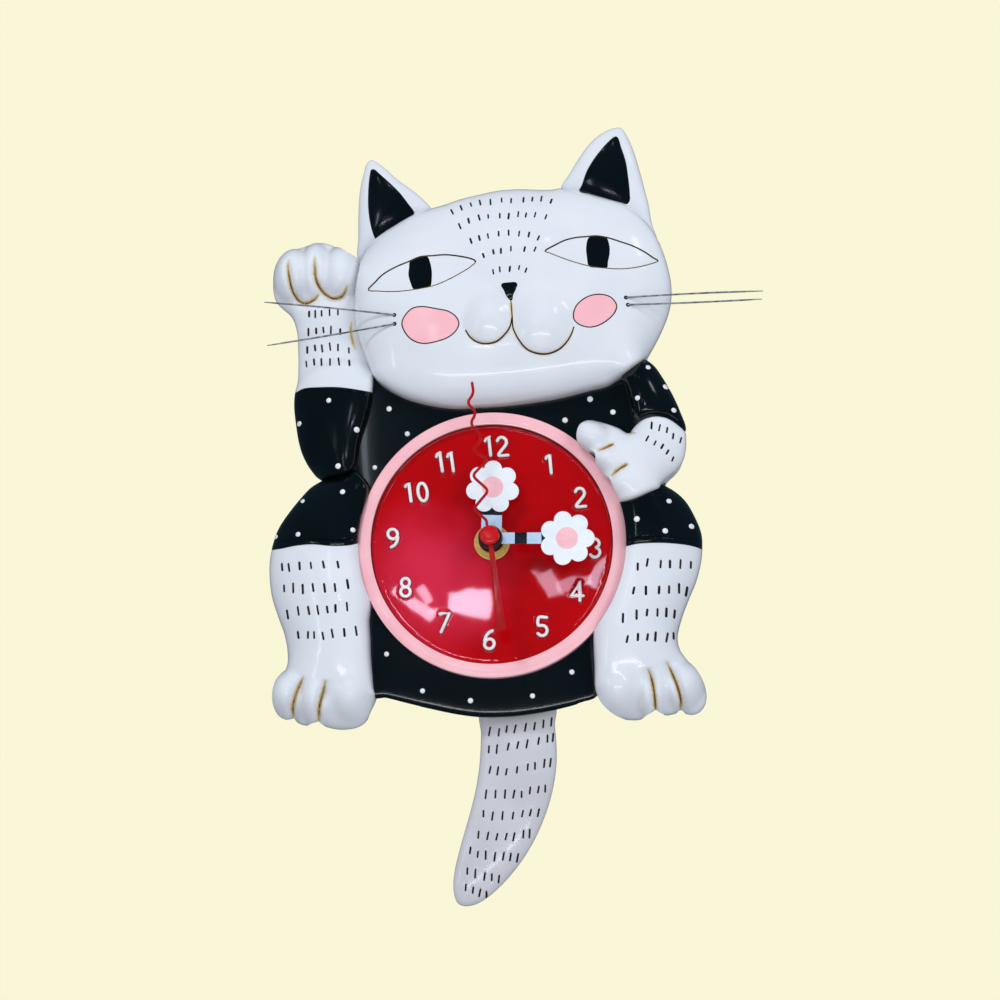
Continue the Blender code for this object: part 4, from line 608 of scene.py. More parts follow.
def glossy_base(name, rough=0.2, coat=0.5, metal=0.0, relief=0.0, relief_scale=400.0,
                stretch=(1, 1, 1), level=0.5, coat_rough=0.06):
    """Material with uneven gloss and fine relief: (tree, shader, plain and stretched places)."""
    material = bpy.data.materials.new(name)
    MATERIALS[name] = material
    material.use_nodes = True
    tree = material.node_tree
    tree.nodes.clear()
    coords = add_node(tree, "TexCoord").outputs["Object"]
    mapped = add_node(tree, "Mapping", {0: coords, "Scale": stretch}).outputs[0]
    fine = add_node(tree, "TexNoise", {"Vector": mapped, "Scale": relief_scale,
                                       "Detail": 3.0}).outputs[0]
    gloss = add_node(tree, "MapRange", {0: fine, "To Min": rough * 0.8, "To Max": rough * 1.3})
    shader = add_node(tree, "BsdfPrincipled", {
        "Roughness": gloss.outputs[0], "Metallic": metal, "Coat Weight": coat,
        "Coat Roughness": coat_rough, "Specular IOR Level": level})
    if relief > 0:
        bump = add_node(tree, "Bump", {"Strength": relief, "Distance": 0.0004, "Height": fine})
        tree.links.new(bump.outputs[0], shader.inputs["Normal"])
    add_node(tree, "OutputMaterial", {0: shader.outputs[0]})
    return tree, shader, coords, mapped


def washed(tree, coords, under):
    """Antique wash over a colour, as strong as the mesh attribute "wash"."""
    amount = add_node(tree, "Attribute", attribute_name="wash").outputs["Fac"]
    grit = add_node(tree, "TexNoise", {"Vector": coords, "Scale": 520.0, "Detail": 5.0})
    gritty = add_node(tree, "Math", {0: grit.outputs[0], 1: 1.3, 2: 0.35},
                      operation="MULTIPLY_ADD")
    strength = add_node(tree, "Math", {0: amount, 1: gritty.outputs[0]},
                        operation="MULTIPLY", use_clamp=True).outputs[0]
    shade = add_node(tree, "ValToRGB", {0: strength})
    fill_ramp(shade, [(0.0, rgb(232, 221, 190)), (0.5, rgb(196, 168, 112)),
                      (1.0, rgb(52, 36, 24))])
    cover = add_node(tree, "MapRange", {0: strength, "From Min": 0.03, "From Max": 0.35})
    return mixed(tree, cover.outputs[0], under, shade.outputs[0])


def finish(name, colour, second, scale=60.0, wash=False, **gloss):
    """Two close tones in a noise pattern, over glossy_base."""
    tree, shader, coords, mapped = glossy_base(name, **gloss)
    noise = add_node(tree, "TexNoise", {"Vector": mapped, "Scale": scale, "Detail": 4.0})
    share = add_node(tree, "MapRange", {0: noise.outputs[0], "From Min": 0.35, "From Max": 0.68})
    tone = mixed(tree, share.outputs[0], rgb(*colour), rgb(*second))
    if wash:
        tone = washed(tree, coords, tone)
    tree.links.new(tone, shader.inputs["Base Color"])
    return shader


def add_cloud(shader, x, height, z, reach, colour, most):
    """Painted reflection: a lighter patch in the glaze round one point, with a wandering edge."""
    tree = shader.id_data
    base = shader.inputs["Base Color"]
    under = base.links[0].from_socket
    coords = add_node(tree, "TexCoord").outputs["Object"]
    offset = add_node(tree, "VectorMath", {0: coords, 1: (x * MM, -height * MM, (z - REST_Z) * MM)},
                      operation="SUBTRACT")
    distance = add_node(tree, "VectorMath", {0: offset.outputs["Vector"]}, operation="LENGTH")
    wander = add_node(tree, "TexNoise", {"Vector": coords, "Scale": 38.0, "Detail": 3.0})
    wandering = add_node(tree, "Math", {0: wander.outputs[0], 1: 0.030,
                                        2: distance.outputs["Value"]}, operation="MULTIPLY_ADD")
    fall = add_node(tree, "MapRange", {
        0: wandering.outputs[0], "From Min": 0.018, "From Max": 0.015 + reach * MM,
        "To Min": most, "To Max": 0.0}, interpolation_type="SMOOTHSTEP")
    tree.links.new(mixed(tree, fall.outputs[0], under, rgb(*colour)), base)


finish("paint_white", (224, 230, 239), (218, 224, 234), coat=0.6, scale=35, relief=0.03,
       relief_scale=120, wash=True)
# a greyer copy of the white paint for the tail: painted shade, the tail's white is the same paint
# as the body's
finish("tail_white_painted_shade", (206, 208, 216), (196, 197, 206), rough=0.22, coat=0.55, scale=35,
       relief=0.03, relief_scale=120)
finish("antique_thin", (120, 96, 62), (60, 44, 32), rough=0.35, coat=0.2, scale=300, relief=0.2,
       relief_scale=900)
finish("paint_black", (5, 12, 17), (2, 7, 11), rough=0.14, scale=45, relief=0.03,
       relief_scale=110)
finish("paint_pink", (249, 192, 201), (246, 182, 193), rough=0.22, relief=0.05,
       relief_scale=140, wash=True)
dial_red = finish("paint_red", (184, 0, 8), (172, 0, 6), rough=0.30, coat=0.8, scale=40,
                  relief=0.005, relief_scale=230, level=0.03, coat_rough=0.02)
finish("antique_line", (34, 25, 20), (82, 60, 36), rough=0.35, coat=0.2, scale=300, relief=0.2,
       relief_scale=900)
finish("antique_dash", (10, 9, 11), (66, 46, 32), rough=0.4, coat=0.1, scale=420, relief=0.2,
       relief_scale=900)
finish("paint_figure", (244, 240, 244), (238, 226, 230), scale=200, relief=0.05)
# dark red at the sides of the raised numerals and at the foot of the ring: painted shade
finish("red_painted_shade", (112, 0, 10), (86, 0, 8), scale=200)
finish("paint_dot", (240, 243, 246), (226, 230, 236), scale=300)
finish("raw_resin", (226, 221, 208), (206, 199, 184), rough=0.62, coat=0.0, scale=70, relief=0.6,
       relief_scale=260)
finish("steel_wire", (186, 190, 196), (84, 88, 94), rough=0.30, coat=0.0, scale=700,
       stretch=(0.5, 1, 1), metal=0.45, relief=0.2)
finish("enamel_white", (236, 243, 250), (226, 236, 246), rough=0.25, coat=0.3, scale=120,
       relief=0.04)
finish("enamel_pink", (250, 196, 206), (246, 186, 198), rough=0.25, coat=0.3, scale=160)
finish("enamel_sky", (186, 212, 240), (176, 204, 236), rough=0.25, coat=0.3, scale=160)
finish("enamel_black", (16, 20, 26), (8, 11, 15), rough=0.25, coat=0.3, scale=160)
finish("enamel_red", (172, 8, 18), (154, 5, 13), rough=0.30, coat=0.2, scale=160, level=0.3)
finish("cap_red", (206, 18, 24), (184, 10, 16), rough=0.16, coat=0.6, scale=120)
finish("hub_black", (14, 14, 16), (28, 28, 30), rough=0.3, coat=0.3, scale=300, relief=0.1)
finish("side_white", (222, 226, 232), (210, 213, 220), rough=0.55, coat=0.1, scale=35,
       relief=0.06, relief_scale=160, level=0.3)
finish("side_black", (8, 14, 19), (4, 9, 13), rough=0.45, coat=0.15, scale=45, relief=0.05,
       relief_scale=140, level=0.35)
finish("plated_brass", (250, 220, 136), (232, 194, 104), rough=0.22, coat=0.3, scale=220,
       metal=0.30, relief=0.15, relief_scale=900, stretch=(1, 1, 4))
# painted reflection: the pink glow over the dial stands in for a soft light mirrored in it
add_cloud(dial_red, x=-26.0, height=26.0, z=-17.0, reach=42.0, colour=(216, 44, 76), most=0.85)


# ---------------------------------------------------------------- the figure, lowest part first
PARTS = {}


def ease(low, high, value):
    share = min(max((value - low) / (high - low), 0.0), 1.0)
    return share * share * (3 - 2 * share)


def widened_torso(x, z):
    """The body reaches behind the raised arm and the left leg."""
    if x < -45:
        upper = ease(14, 24, z)
        x -= (9.0 * upper + 5.0 * (1 - upper) * ease(-70, -64, z)) * (1 - ease(84, 92, z))
    return x, z


def tucked_head(x, z):
    """The left cheek tucks in beside the arm and the chin drops over the collar."""
    shift = 2.6 * ease(68, 90, z) * (1 - ease(122, 140, z)) if x < -40 else 0.0
    return x + shift, z - 1.7 * (1 - ease(66, 90, z)) - 1.0 * ease(138, 150, z)


OUTLINE["torso"] = [widened_torso(x, z) for x, z in OUTLINE["torso"]]
OUTLINE["head"] = [tucked_head(x, z) for x, z in OUTLINE["head"]]


def add_part(name, edge, rise, toes=(), toe_shape=None, gap_shape=None, **shape):
    """Builds a part, with toes (x, z, radius x, radius z, spin) and the furrows between them."""
    part = Part(OUTLINE[name], edge, rise, **shape)
    PARTS[name] = part
    for x, z, radius_x, radius_z, spin in toes:
        part.reliefs.append(mound((x, z), (radius_x, radius_z), spin=spin, **toe_shape))
    if toes:
        for gap in TOE_GAPS[name]:
            add_furrow(part, gap, **gap_shape)
    return part


add_part("ear_l", edge=10.0, rise=6.0, power=0.8).settle()
add_part("ear_r", edge=10.0, rise=6.5, power=0.8).settle()
add_part("torso", edge=22.6, rise=2.8, power=0.7).settle()
LEG_TOES = {
    "leg_l": ((-89.5, -66.0, 9.4, 11.5, 0), (-77.5, -68.0, 8.6, 12.5, 0),
              (-62.5, -66.0, 11.6, 13.5, 0)),
    "leg_r": ((54.5, -64.5, 12.0, 13.5, 0), (69.5, -66.5, 8.4, 12.5, 0),
              (83.0, -63.5, 10.0, 11.5, 0)),
}
for leg, leg_toes in LEG_TOES.items():
    add_part(leg, edge=15.0, rise=15.5, power=0.85, toes=leg_toes,
             toe_shape=dict(top=32.6, base=15.0, power=0.55, softness=2.4),
             gap_shape=dict(depth=4.0, width=1.5, fade=(0.3, 0))).settle()
add_part("arm_l", edge=14.0, rise=9.5, power=0.8,
         toes=((-89.5, 122.5, 9.5, 13.5, 0), (-79.5, 124.0, 8.5, 14.5, 0),
               (-68.0, 123.0, 10.0, 14.0, 0)),
         toe_shape=dict(top=30.0, base=14.0, power=0.55, softness=2.4),
         gap_shape=dict(depth=3.2, width=1.4, fade=(0.2, 0.25))).settle()
add_part("sleeve_r", edge=20.0, rise=11.0, power=0.85).settle()
head = add_part("head", edge=17.0, rise=19.5, power=0.8, lip=2.2, crown=3.5)

lobe_left, lobe_right = laid([(-5.3, 80.3), (18.7, 78.4)], head.height)
MUZZLE_LOBES = [(lobe_left, 11.9, 11.6, 4.2), (lobe_right, 14.4, 14.4, 4.6)]  # radii x, z, rise
NOSE_AT = laid([(4.1, 92.4)], head.height)[0]


def face_relief(height, places):
    """Muzzle lobes, full above and steep below, and the nose."""
    x, z = places[:, 0], places[:, 1]
    height = height.copy()
    for centre, radius_x, radius_z, rise in MUZZLE_LOBES:
        across = (x - centre[0]) / radius_x
        above = z - centre[1]
        upward = np.where(above > 0, above / (1.35 * radius_z), above / radius_z)
        radial = np.hypot(across, upward)
        low = np.clip(0.5 - 0.5 * upward, 0, 1)
        height += rise * np.maximum(1 - radial * radial, 0) ** (2.7 - 2.15 * low ** 0.8)
    radial = np.hypot((x - NOSE_AT[0]) / 4.6, (z - NOSE_AT[1]) / 4.4)
    height += 1.5 * np.maximum(1 - radial * radial, 0) ** 1.2
    return height


head.reliefs.append(face_relief)
head.settle()

RING_CENTRE, RING_R = (0.2, -1.2), 58.9
FLOOR_CENTRE, FLOOR_R = (-0.1, -0.8), 53.3
RING_LINE = circle(RING_CENTRE, RING_R, 520)
FLOOR_LINE = circle(FLOOR_CENTRE, FLOOR_R, 470)


def ring_height(places):
    """Raised ring round the dial, rounded across its width."""
    radial = np.hypot(places[:, 0] - RING_CENTRE[0], places[:, 1] - RING_CENTRE[1])
    across = np.clip((radial - 56.1) / 2.9, -1.0, 1.0)
    return 28.2 + 1.0 * np.maximum(1 - 0.9 * across * across, 0) ** 0.35


def floor_height(places):
    """Dial floor: faint waves in the glaze, a shallow middle and a rising edge."""
    x, z = places[:, 0], places[:, 1]
    radial = np.hypot(x - FLOOR_CENTRE[0], z - FLOOR_CENTRE[1])
    height = (26.0 + 0.022 * np.sin(x * 0.10 + 1.0) * np.cos(z * 0.09 - 0.6)
              + 0.0022 * np.sin(x * 0.27 + z * 0.21))
    height += 0.0006 * np.sin(x * 0.62 - z * 0.43 + 1.3 * np.sin(z * 0.2))
    height -= 0.10 * np.clip(1 - radial / 14, 0, 1)
    return height + 0.5 * np.clip((radial - 51.9) / 1.4, 0, 1) ** 2


for dial_line, dial_height in ((RING_LINE, ring_height), (FLOOR_LINE, floor_height)):
    covered = inside(dial_line, FIGURE_GRID.places)
    FIGURE_HEIGHT.reshape(-1)[covered] = dial_height(FIGURE_GRID.places[covered])
add_part("paw_r", edge=27.0, rise=8.5, power=0.8, lip=1.4,
         toes=((43.5, 46.0, 10.0, 7.6, -20), (50.5, 36.0, 10.5, 7.0, -30),
               (57.5, 25.5, 10.5, 8.4, -25)),
         toe_shape=dict(top=39.0, base=28.0, power=0.6, softness=3.0),
         gap_shape=dict(depth=2.2, width=1.3, fade=(0, 0.3))).settle()

# ---------------------------------------------------------------- layers
# Each layer is painted over the ones before it; one with a parent is kept to the parent's outline.
Layer = namedtuple("Layer", "name outline height paint parent", defaults=(None,))
LAYERS = []

hems = {name: laid(spline(line, False, 1.0), PARTS[name].height) for name, line in HEM.items()}
ear_linings = {name: laid(spline(line, True, 0.8), PARTS[name].height)
               for name, line in EAR_LINING.items()}


def coat_height(part, amount, line=None):
    """Height of a part under a thin coat that is rounded down along an open line."""
    def height(places):
        bare = part.height_inside(places)
        if line is None:
            return bare + amount
        distance = np.full(len(places), 1.2)
        hit, near, _ = Cloud(places).near(line, False, 1.2)
        distance[hit] = near
        return bare + amount * np.sqrt(np.clip(distance / 1.2, 0.12, 1))
    return height


def add_layer(name, paint):
    LAYERS.append(Layer(name, PARTS[name].outline, PARTS[name].height_inside, paint))


for name in ("ear_l", "ear_r"):
    add_layer(name, "paint_white")
    LAYERS.append(Layer(name + "_in", ear_linings[name], coat_height(PARTS[name], -0.8),
                        "paint_black", PARTS[name].outline))
add_layer("torso", "paint_black")
for name, hem in hems.items():
    add_layer(name, "paint_white")
    end_z = -70 if name == "arm_l" else 70       # the suit lies on this side of the hem
    suit = np.concatenate([hem, [(hem[-1, 0], hem[-1, 1] + end_z), (hem[0, 0], hem[0, 1] + end_z)]])
    LAYERS.append(Layer(name + "_hem", suit, coat_height(PARTS[name], 0.7, hem), "paint_black",
                        PARTS[name].outline))
add_layer("sleeve_r", "paint_black")
add_layer("head", "paint_white")
LAYERS.append(Layer("ring", RING_LINE, ring_height, "paint_pink"))
LAYERS.append(Layer("floor", FLOOR_LINE, floor_height, "paint_red"))
add_layer("paw_r", "paint_white")


def layer_at(places):
    """Index of the topmost layer at each place, -1 outside the figure."""
    result = np.full(len(places), -1)
    for i, layer in enumerate(LAYERS):
        covered = inside(layer.outline, places)
        if layer.parent is not None:
            covered &= inside(layer.parent, places)
        result[covered] = i
    return result


# ---------------------------------------------------------------- painted and engraved marks
# A dot's line is its centre and its half its radius. half and depth are the groove's half width
# and depth, reach is how far the wash spreads, fade its shares at both ends.
Mark = namedtuple("Mark", "kind line half depth paint closed wash reach fade",
                  defaults=(None, False, 0.0, 0.0, (0, 0)))
MARKS = []
REGIONS = []           # (outline, paint)
SOCKET_R = 0.95        # whisker sockets
BORE_R = 4.3
STROKE_R, STROKE_TOP_R = 1.08, 0.72      # half widths of the numerals, at the foot and on top


def add_line(drawn, part_name, half, depth, paint=None, closed=False, **wash):
    line = laid(spline(drawn, closed, 0.8), PARTS[part_name].height)
    MARKS.append(Mark("line", line, half, depth, paint, closed, **wash))
    return line


def jitter(index, seed=1.0):
    """Repeatable scatter from -0.5 to 0.5."""
    return (math.sin(index * 12.9898 + seed * 4.1) * 43758.5453) % 1.0 - 0.5


def dash_line(across, up, angle, half_length, height_at, **start):
    side, rise = half_length * math.sin(angle), half_length * math.cos(angle)
    return laid([(across - side, up - rise), (across + side, up + rise)], height_at, **start)


def add_dashes(points, part_name, length, half, lean):
    for i, (across, up) in enumerate(points):
        size = length * (1 + 0.45 * jitter(i, across + 0.7))
        line = dash_line(across, up, lean(across, up, i), size / 2, PARTS[part_name].height)
        MARKS.append(Mark("dash", line, half * (1 + 0.3 * jitter(i, up + 2.1)), 0.42,
                          "antique_dash"))


def leaning(degrees, scatter, seed=None):
    """Lean to the right; the scatter is seeded by a dash's place up unless a seed is given."""
    def lean(across, up, i):
        return math.radians(degrees) + scatter * jitter(i, up if seed is None else seed)
    return lean


def head_lean(across, up, i):
    """Fan out from below the nose."""
    return math.atan2(across - 2.2, up - 74.8) + 0.18 * jitter(i, up)


def eye_lids(drawn):
    """(lower, upper) lid of an eye, parted at its corners."""
    line = spline(drawn, True, 0.5)
    left, right = int(np.argmin(line[:, 0])), int(np.argmax(line[:, 0]))
    turned = np.roll(line, -left, 0)
    corner = (right - left) % len(line)
    one, two = turned[:corner + 1], np.concatenate([turned[corner:], turned[:1]])
    return (two, one) if one[:, 1].mean() > two[:, 1].mean() else (one, two)


for eye in (EYE_L, EYE_R):
    lower_lid, upper_lid = eye_lids(eye)
    MARKS.append(Mark("line", laid(lower_lid, head.height), half=0.22, depth=0.2,
                      paint="antique_thin", wash=0.16, reach=0.9))
    MARKS.append(Mark("line", laid(upper_lid, head.height), half=0.36, depth=0.3,
                      paint="antique_line", wash=0.16, reach=0.9))
for cheek in (CHEEK_L, CHEEK_R):
    cheek_line = add_line(cheek, "head", half=0.28, depth=0.28, paint="antique_line", closed=True,
                          wash=0.12, reach=0.8)
    REGIONS.append((cheek_line, "paint_pink"))
for patch in (PUPIL_L, PUPIL_R, NOSE):
    REGIONS.append((laid(spline(patch), head.height), "paint_black"))
add_line(MOUTH_MID, "head", half=0.24, depth=0.5, paint="antique_thin", wash=0.55, reach=1.5,
         fade=(0.25, 0))
for mouth in (MOUTH_L, MOUTH_R):
    add_line(mouth, "head", half=0.30, depth=0.7, paint="antique_line", wash=0.42, reach=1.4,
             fade=(0, 0.12))
for name, gaps in TOE_GAPS.items():
    for gap in gaps:
        add_line(gap, name, half=0.28, depth=0.5, wash=0.9, reach=1.15, fade=(0.35, 0.15))
add_line(PAW_R_CREASE, "paw_r", half=0.25, depth=0.3, wash=0.5, reach=1.1, fade=(0.2, 0.2))
add_line(ARM_L_CREASE, "arm_l", half=0.3, depth=0.2, wash=0.6, reach=1.6, fade=(0.3, 0.3))
for row in HEAD_ROWS:
    add_dashes(row, "head", length=1.85, half=0.42, lean=head_lean)
add_dashes(ARM_DASHES, "arm_l", length=2.6, half=0.45, lean=leaning(-3, 0.16))
add_dashes(PAW_DASHES_UPPER, "paw_r", length=2.3, half=0.42, lean=leaning(12, 0.3, seed=2))
add_dashes(PAW_DASHES_LOWER, "paw_r", length=2.2, half=0.42, lean=leaning(28, 0.2, seed=3))
add_dashes(LEG_L_DASHES, "leg_l", length=3.1, half=0.50, lean=leaning(-5, 0.22))
add_dashes(LEG_R_DASHES, "leg_r", length=3.1, half=0.50, lean=leaning(5, 0.22))
for i, dot in enumerate(DOTS):
    MARKS.append(Mark("dot", laid([dot], surface)[0], half=1.18 + 0.3 * jitter(i), depth=0.5,
                      paint="paint_dot"))
# seams a little way in from the cuffs: gap, and 1 for above the hem or -1 for below
for name, gap, turn in (("leg_l", 2.5, 1), ("leg_r", 2.7, 1), ("arm_l", 1.5, -1)):
    side = normals(hems[name], False)
    side *= np.sign(side[:, 1:].mean()) * turn
    seam = (hems[name] + side * gap)[4:-4]
    seam = seam[inside(PARTS[name].outline, seam)]
    MARKS.append(Mark("line", seam, half=0.5, depth=0.45, reach=0.6, fade=(0.06, 0.06)))
# the seam of the right sleeve follows the paw round its middle
PAW_MIDDLE = (72, 40)
cuff = [spot for spot in PARTS["paw_r"].outline if spot[1] > 44 and spot[0] > 60]
cuff = np.array(sorted(cuff, key=lambda spot: math.atan2(spot[1] - PAW_MIDDLE[1],
                                                         spot[0] - PAW_MIDDLE[0])))
cuff = cuff + (cuff - PAW_MIDDLE) / norm(cuff - PAW_MIDDLE, axis=1)[:, None] * 1.9
cuff = cuff[inside(PARTS["sleeve_r"].outline, cuff)]
if len(cuff) > 8:
    MARKS.append(Mark("line", cuff[2:-2], half=0.5, depth=0.5, reach=0.6, fade=(0.08, 0.08)))


# ---------------------------------------------------------------- numerals
def arc(x, z, radius_x, radius_z, start, end, steps=6):
    angles = [math.radians(start + (end - start) * i / steps) for i in range(steps + 1)]
    return [(x + radius_x * math.cos(a), z + radius_z * math.sin(a)) for a in angles]


DIGITS = {  # centre lines of the rounded figures, (line, closed)
    "0": [(arc(0, 0, 1.9, 3.7, 0, 324, 9), True)],
    "1": [([(-1.2, 2.3), (0.4, 3.7), (0.4, -3.7)], False)],
    "2": [(arc(0, 1.8, 1.9, 1.9, 165, -35, 5) + [(-1.9, -3.7), (2.0, -3.7)], False)],
    "3": [(arc(-0.2, 1.9, 1.8, 1.8, 150, -70, 5), False),
          (arc(-0.2, -1.7, 2.1, 2.0, 75, -150, 6), False)],
    "4": [([(1.05, -3.7), (1.05, 3.7), (-2.55, -1.75), (2.4, -1.75)], False)],
    "5": [([(1.8, 3.7), (-1.4, 3.7), (-1.6, 0.5)] + arc(-0.1, -1.6, 2.1, 2.1, 100, -145), False)],
    "6": [(arc(0, -1.7, 2.0, 2.0, 0, 320, 8), True),
          (arc(1.6, -1.0, 3.7, 4.7, 172, 100, 3), False)],
    "7": [([(-2.0, 3.7), (2.0, 3.7), (-0.6, -3.7)], False)],
    "8": [(arc(0, 1.9, 1.7, 1.8, 0, 320, 8), True),
          (arc(0, -1.8, 2.0, 1.9, 0, 320, 8), True)],
    "9": [(arc(0, 1.7, 2.0, 2.0, 0, 320, 8), True),
          (arc(-1.6, 1.0, 3.7, 4.7, -8, -80, 3), False)],
}
NUMERALS = {  # hour: x, z, lean to the left in degrees
    1: (25.3, 34.8, 5), 2: (38.8, 19.8, 4), 3: (45.3, -2.9, 0), 4: (37.4, -22.1, 0),
    5: (22.0, -37.5, 0), 6: (-1.1, -43.1, -3), 7: (-21.3, -35.5, -6), 8: (-38.1, -19.6, 0),
    9: (-43.7, 2.3, 4), 10: (-33.7, 22.8, 7), 11: (-20.5, 36.1, 8), 12: (1.5, 43.0, 6)}
DIGIT_SCALE = (1.06, 1.09)


def numeral_strokes():
    strokes = []
    for hour, (x, z, lean) in NUMERALS.items():
        text = str(hour)
        pitch = 6.0 if text != "11" else 4.9
        for i, digit in enumerate(text):
            shift = (i - (len(text) - 1) / 2) * pitch
            for line, closed in DIGITS[digit]:
                stroke = np.array(line, float) * DIGIT_SCALE
                stroke[:, 0] -= math.tan(math.radians(lean)) * stroke[:, 1]
                stroke += (x + shift, z)
                if len(stroke) > 4:
                    stroke = spline(stroke, closed, 0.5)
                strokes.append((stroke, closed))
    return strokes


STROKES = numeral_strokes()
WHISKERS = {  # root drawn (across, up), tip as x, z, height
    "left_upper": ((-46.5, 81.4), (-100.4, 107.2, 36.0)),
    "left_lower": ((-46.4, 77.5), (-98.9, 87.6, 36.0)),
    "right_upper": ((55.4, 89.1), (119.9, 110.4, 32.0)),
    "right_lower": ((56.3, 85.9), (119.4, 106.4, 33.5)),
}
SOCKETS = {key: laid([root], head.height)[0] for key, (root, _) in WHISKERS.items()}


# ---------------------------------------------------------------- triangulation
class Sketch:
    """Points and lines gathered for one triangulation."""

    def __init__(self):
        self.points, self.edges, self.count = [], [], 0

    def add(self, points, closed=None):
        """Loose points, or a line if closed is True or False."""
        points = np.asarray(points, float)
        size, start = len(points), self.count
        self.points.append(points)
        self.count += size
        if closed is not None:
            self.edges += [(start + i, start + (i + 1) % size)
                           for i in range(size if closed else size - 1)]

    def fill(self, points, clear):
        """Loose points, dropped where they crowd what is already there."""
        if not len(points):
            return
        have = np.concatenate(self.points)
        tree = kdtree.KDTree(len(have))
        for i, (x, z) in enumerate(have):
            tree.insert((x, z, 0.0), i)
        tree.balance()
        keep = [i for i, (x, z) in enumerate(points) if tree.find((x, z, 0.0))[2] >= clear]
        self.add(points[keep])

    def add_dash(self, line, half):
        self.add(capsule(line, half, 4), True)
        self.add([line[0], line.mean(0), line[-1]])

    def fill_edge_rows(self, outline, insets, clear):
        """Rows of points close along a rounded edge."""
        for amount in insets:
            row = inset(outline, amount)
            distance = Cloud(row).distance(outline, amount + 0.1)
            self.fill(row[distance > 0.9 * amount], clear)

    def solve(self, ids=False):
        """(points, triangles turning left, input points of each point)."""
        points = [Vector((float(x), float(z))) for x, z in np.concatenate(self.points)]
        out = delaunay_2d_cdt(points, self.edges, [], 0, 1e-5, ids)
        solved = np.array([tuple(point) for point in out[0]], float)
        tris = np.array([tuple(tri) for tri in out[2]], int)
        one, two, three = solved[tris[:, 0]], solved[tris[:, 1]], solved[tris[:, 2]]
        area = ((two[:, 0] - one[:, 0]) * (three[:, 1] - one[:, 1])
                - (two[:, 1] - one[:, 1]) * (three[:, 0] - one[:, 0]))
        tris[area < 0] = tris[area < 0][:, ::-1]
        return solved, tris[np.abs(area) > 1e-9], (out[3] if ids else None)


def lattice(low, high, step):
    """Triangular lattice of slightly scattered points."""
    rows = np.arange(low[1], high[1], step * 0.866)
    x, z = np.meshgrid(np.arange(low[0], high[0], step), rows)
    x = x + (np.arange(len(rows)) % 2)[:, None] * step / 2
    number = np.arange(x.size).reshape(x.shape)
    x = x + 0.12 * step * np.sin(number * 1.7)
    z = z + 0.12 * step * np.cos(number * 2.3)
    return np.stack([x.ravel(), z.ravel()], 1)


# ---------------------------------------------------------------- front of the figure
FIGURE_LOW, FIGURE_HIGH = (-104, -94), (98, 196)
PAINTS = ["paint_white", "paint_black", "paint_pink", "paint_red", "antique_line", "antique_dash",
          "paint_figure", "red_painted_shade", "paint_dot", "raw_resin", "antique_thin", "side_white",
          "side_black"]
PAINT = {paint: k for k, paint in enumerate(PAINTS)}


def distance_to(centre, places):
    return np.hypot(places[:, 0] - centre[0], places[:, 1] - centre[1])


def sketch_mark(sketch, mark):
    line, half = mark.line, mark.half
    if mark.kind == "dot":
        sketch.add(circle(line, half, 12), True)
        sketch.add(circle(line, 0.8 * half, 9))
        sketch.add(circle(line, 0.42 * half, 6))
        sketch.add([line])
        return
    if mark.kind == "dash":
        sketch.add_dash(line, half)
        return
    side = normals(line, mark.closed)
    if mark.paint:
        sketch.add(line + side * half, mark.closed)
        sketch.add(line - side * half, mark.closed)
        sketch.add(line)
    else:
        sketch.add(line, mark.closed)
        sketch.add(line + side * half)
        sketch.add(line - side * half)
    if mark.reach > 1.3:
        for away in (half + 0.5, half + 1.1):
            sketch.add(line[1:-1] + side[1:-1] * away)
            sketch.add(line[1:-1] - side[1:-1] * away)


def sketch_stroke(sketch, line, closed):
    if closed:
        side = normals(line, True)
        for away in (STROKE_TOP_R, -STROKE_TOP_R, STROKE_R, -STROKE_R):
            sketch.add(line + side * away, True)
        for away in (0.38, -0.38):
            sketch.add(line + side * away)
    else:
        sketch.add(capsule(line, STROKE_R), True)
        sketch.add(capsule(line, STROKE_TOP_R), True)
        sketch.add(capsule(line, 0.38, 4))
    sketch.add(line)


def plan_front():
    """Plane points, triangles and the layer of each triangle."""
    sketch = Sketch()
    whole = [layer for layer in LAYERS if layer.parent is None]
    for layer in whole:
        sketch.add(layer.outline, True)
    for lining in ear_linings.values():
        sketch.add(lining, True)
    for hem in hems.values():
        sketch.add(hem, False)
    sketch.add(circle((0, 0), BORE_R, 40), True)
    for line, _ in REGIONS:
        sketch.add(line, True)
    for mark in MARKS:
        sketch_mark(sketch, mark)
    for line, closed in STROKES:
        sketch_stroke(sketch, line, closed)
    for socket in SOCKETS.values():
        sketch.add(circle(socket, SOCKET_R, 12), True)
        sketch.add(circle(socket, SOCKET_R * 0.72, 9))
        sketch.add([socket])
    for layer in whole:
        if layer.name not in ("ring", "floor"):
            sketch.fill_edge_rows(layer.outline, (0.22, 0.6, 1.2, 2.0), clear=0.19)
    for away in (-0.5, -1.1):
        sketch.fill(circle(RING_CENTRE, RING_R + away, 420), 0.3)
        sketch.fill(circle(FLOOR_CENTRE, FLOOR_R + away, 380), 0.3)
        sketch.fill(circle(FLOOR_CENTRE, FLOOR_R - away, 380), 0.3)
    sketch.fill(lattice(FIGURE_LOW, FIGURE_HIGH, STEP), 0.42)
    plane, tris, _ = sketch.solve()
    centres = plane[tris].mean(1)
    tri_layer = layer_at(centres)
    keep = (tri_layer >= 0) & ~(np.hypot(centres[:, 0], centres[:, 1]) < BORE_R)
    return plane, tris[keep], tri_layer[keep]


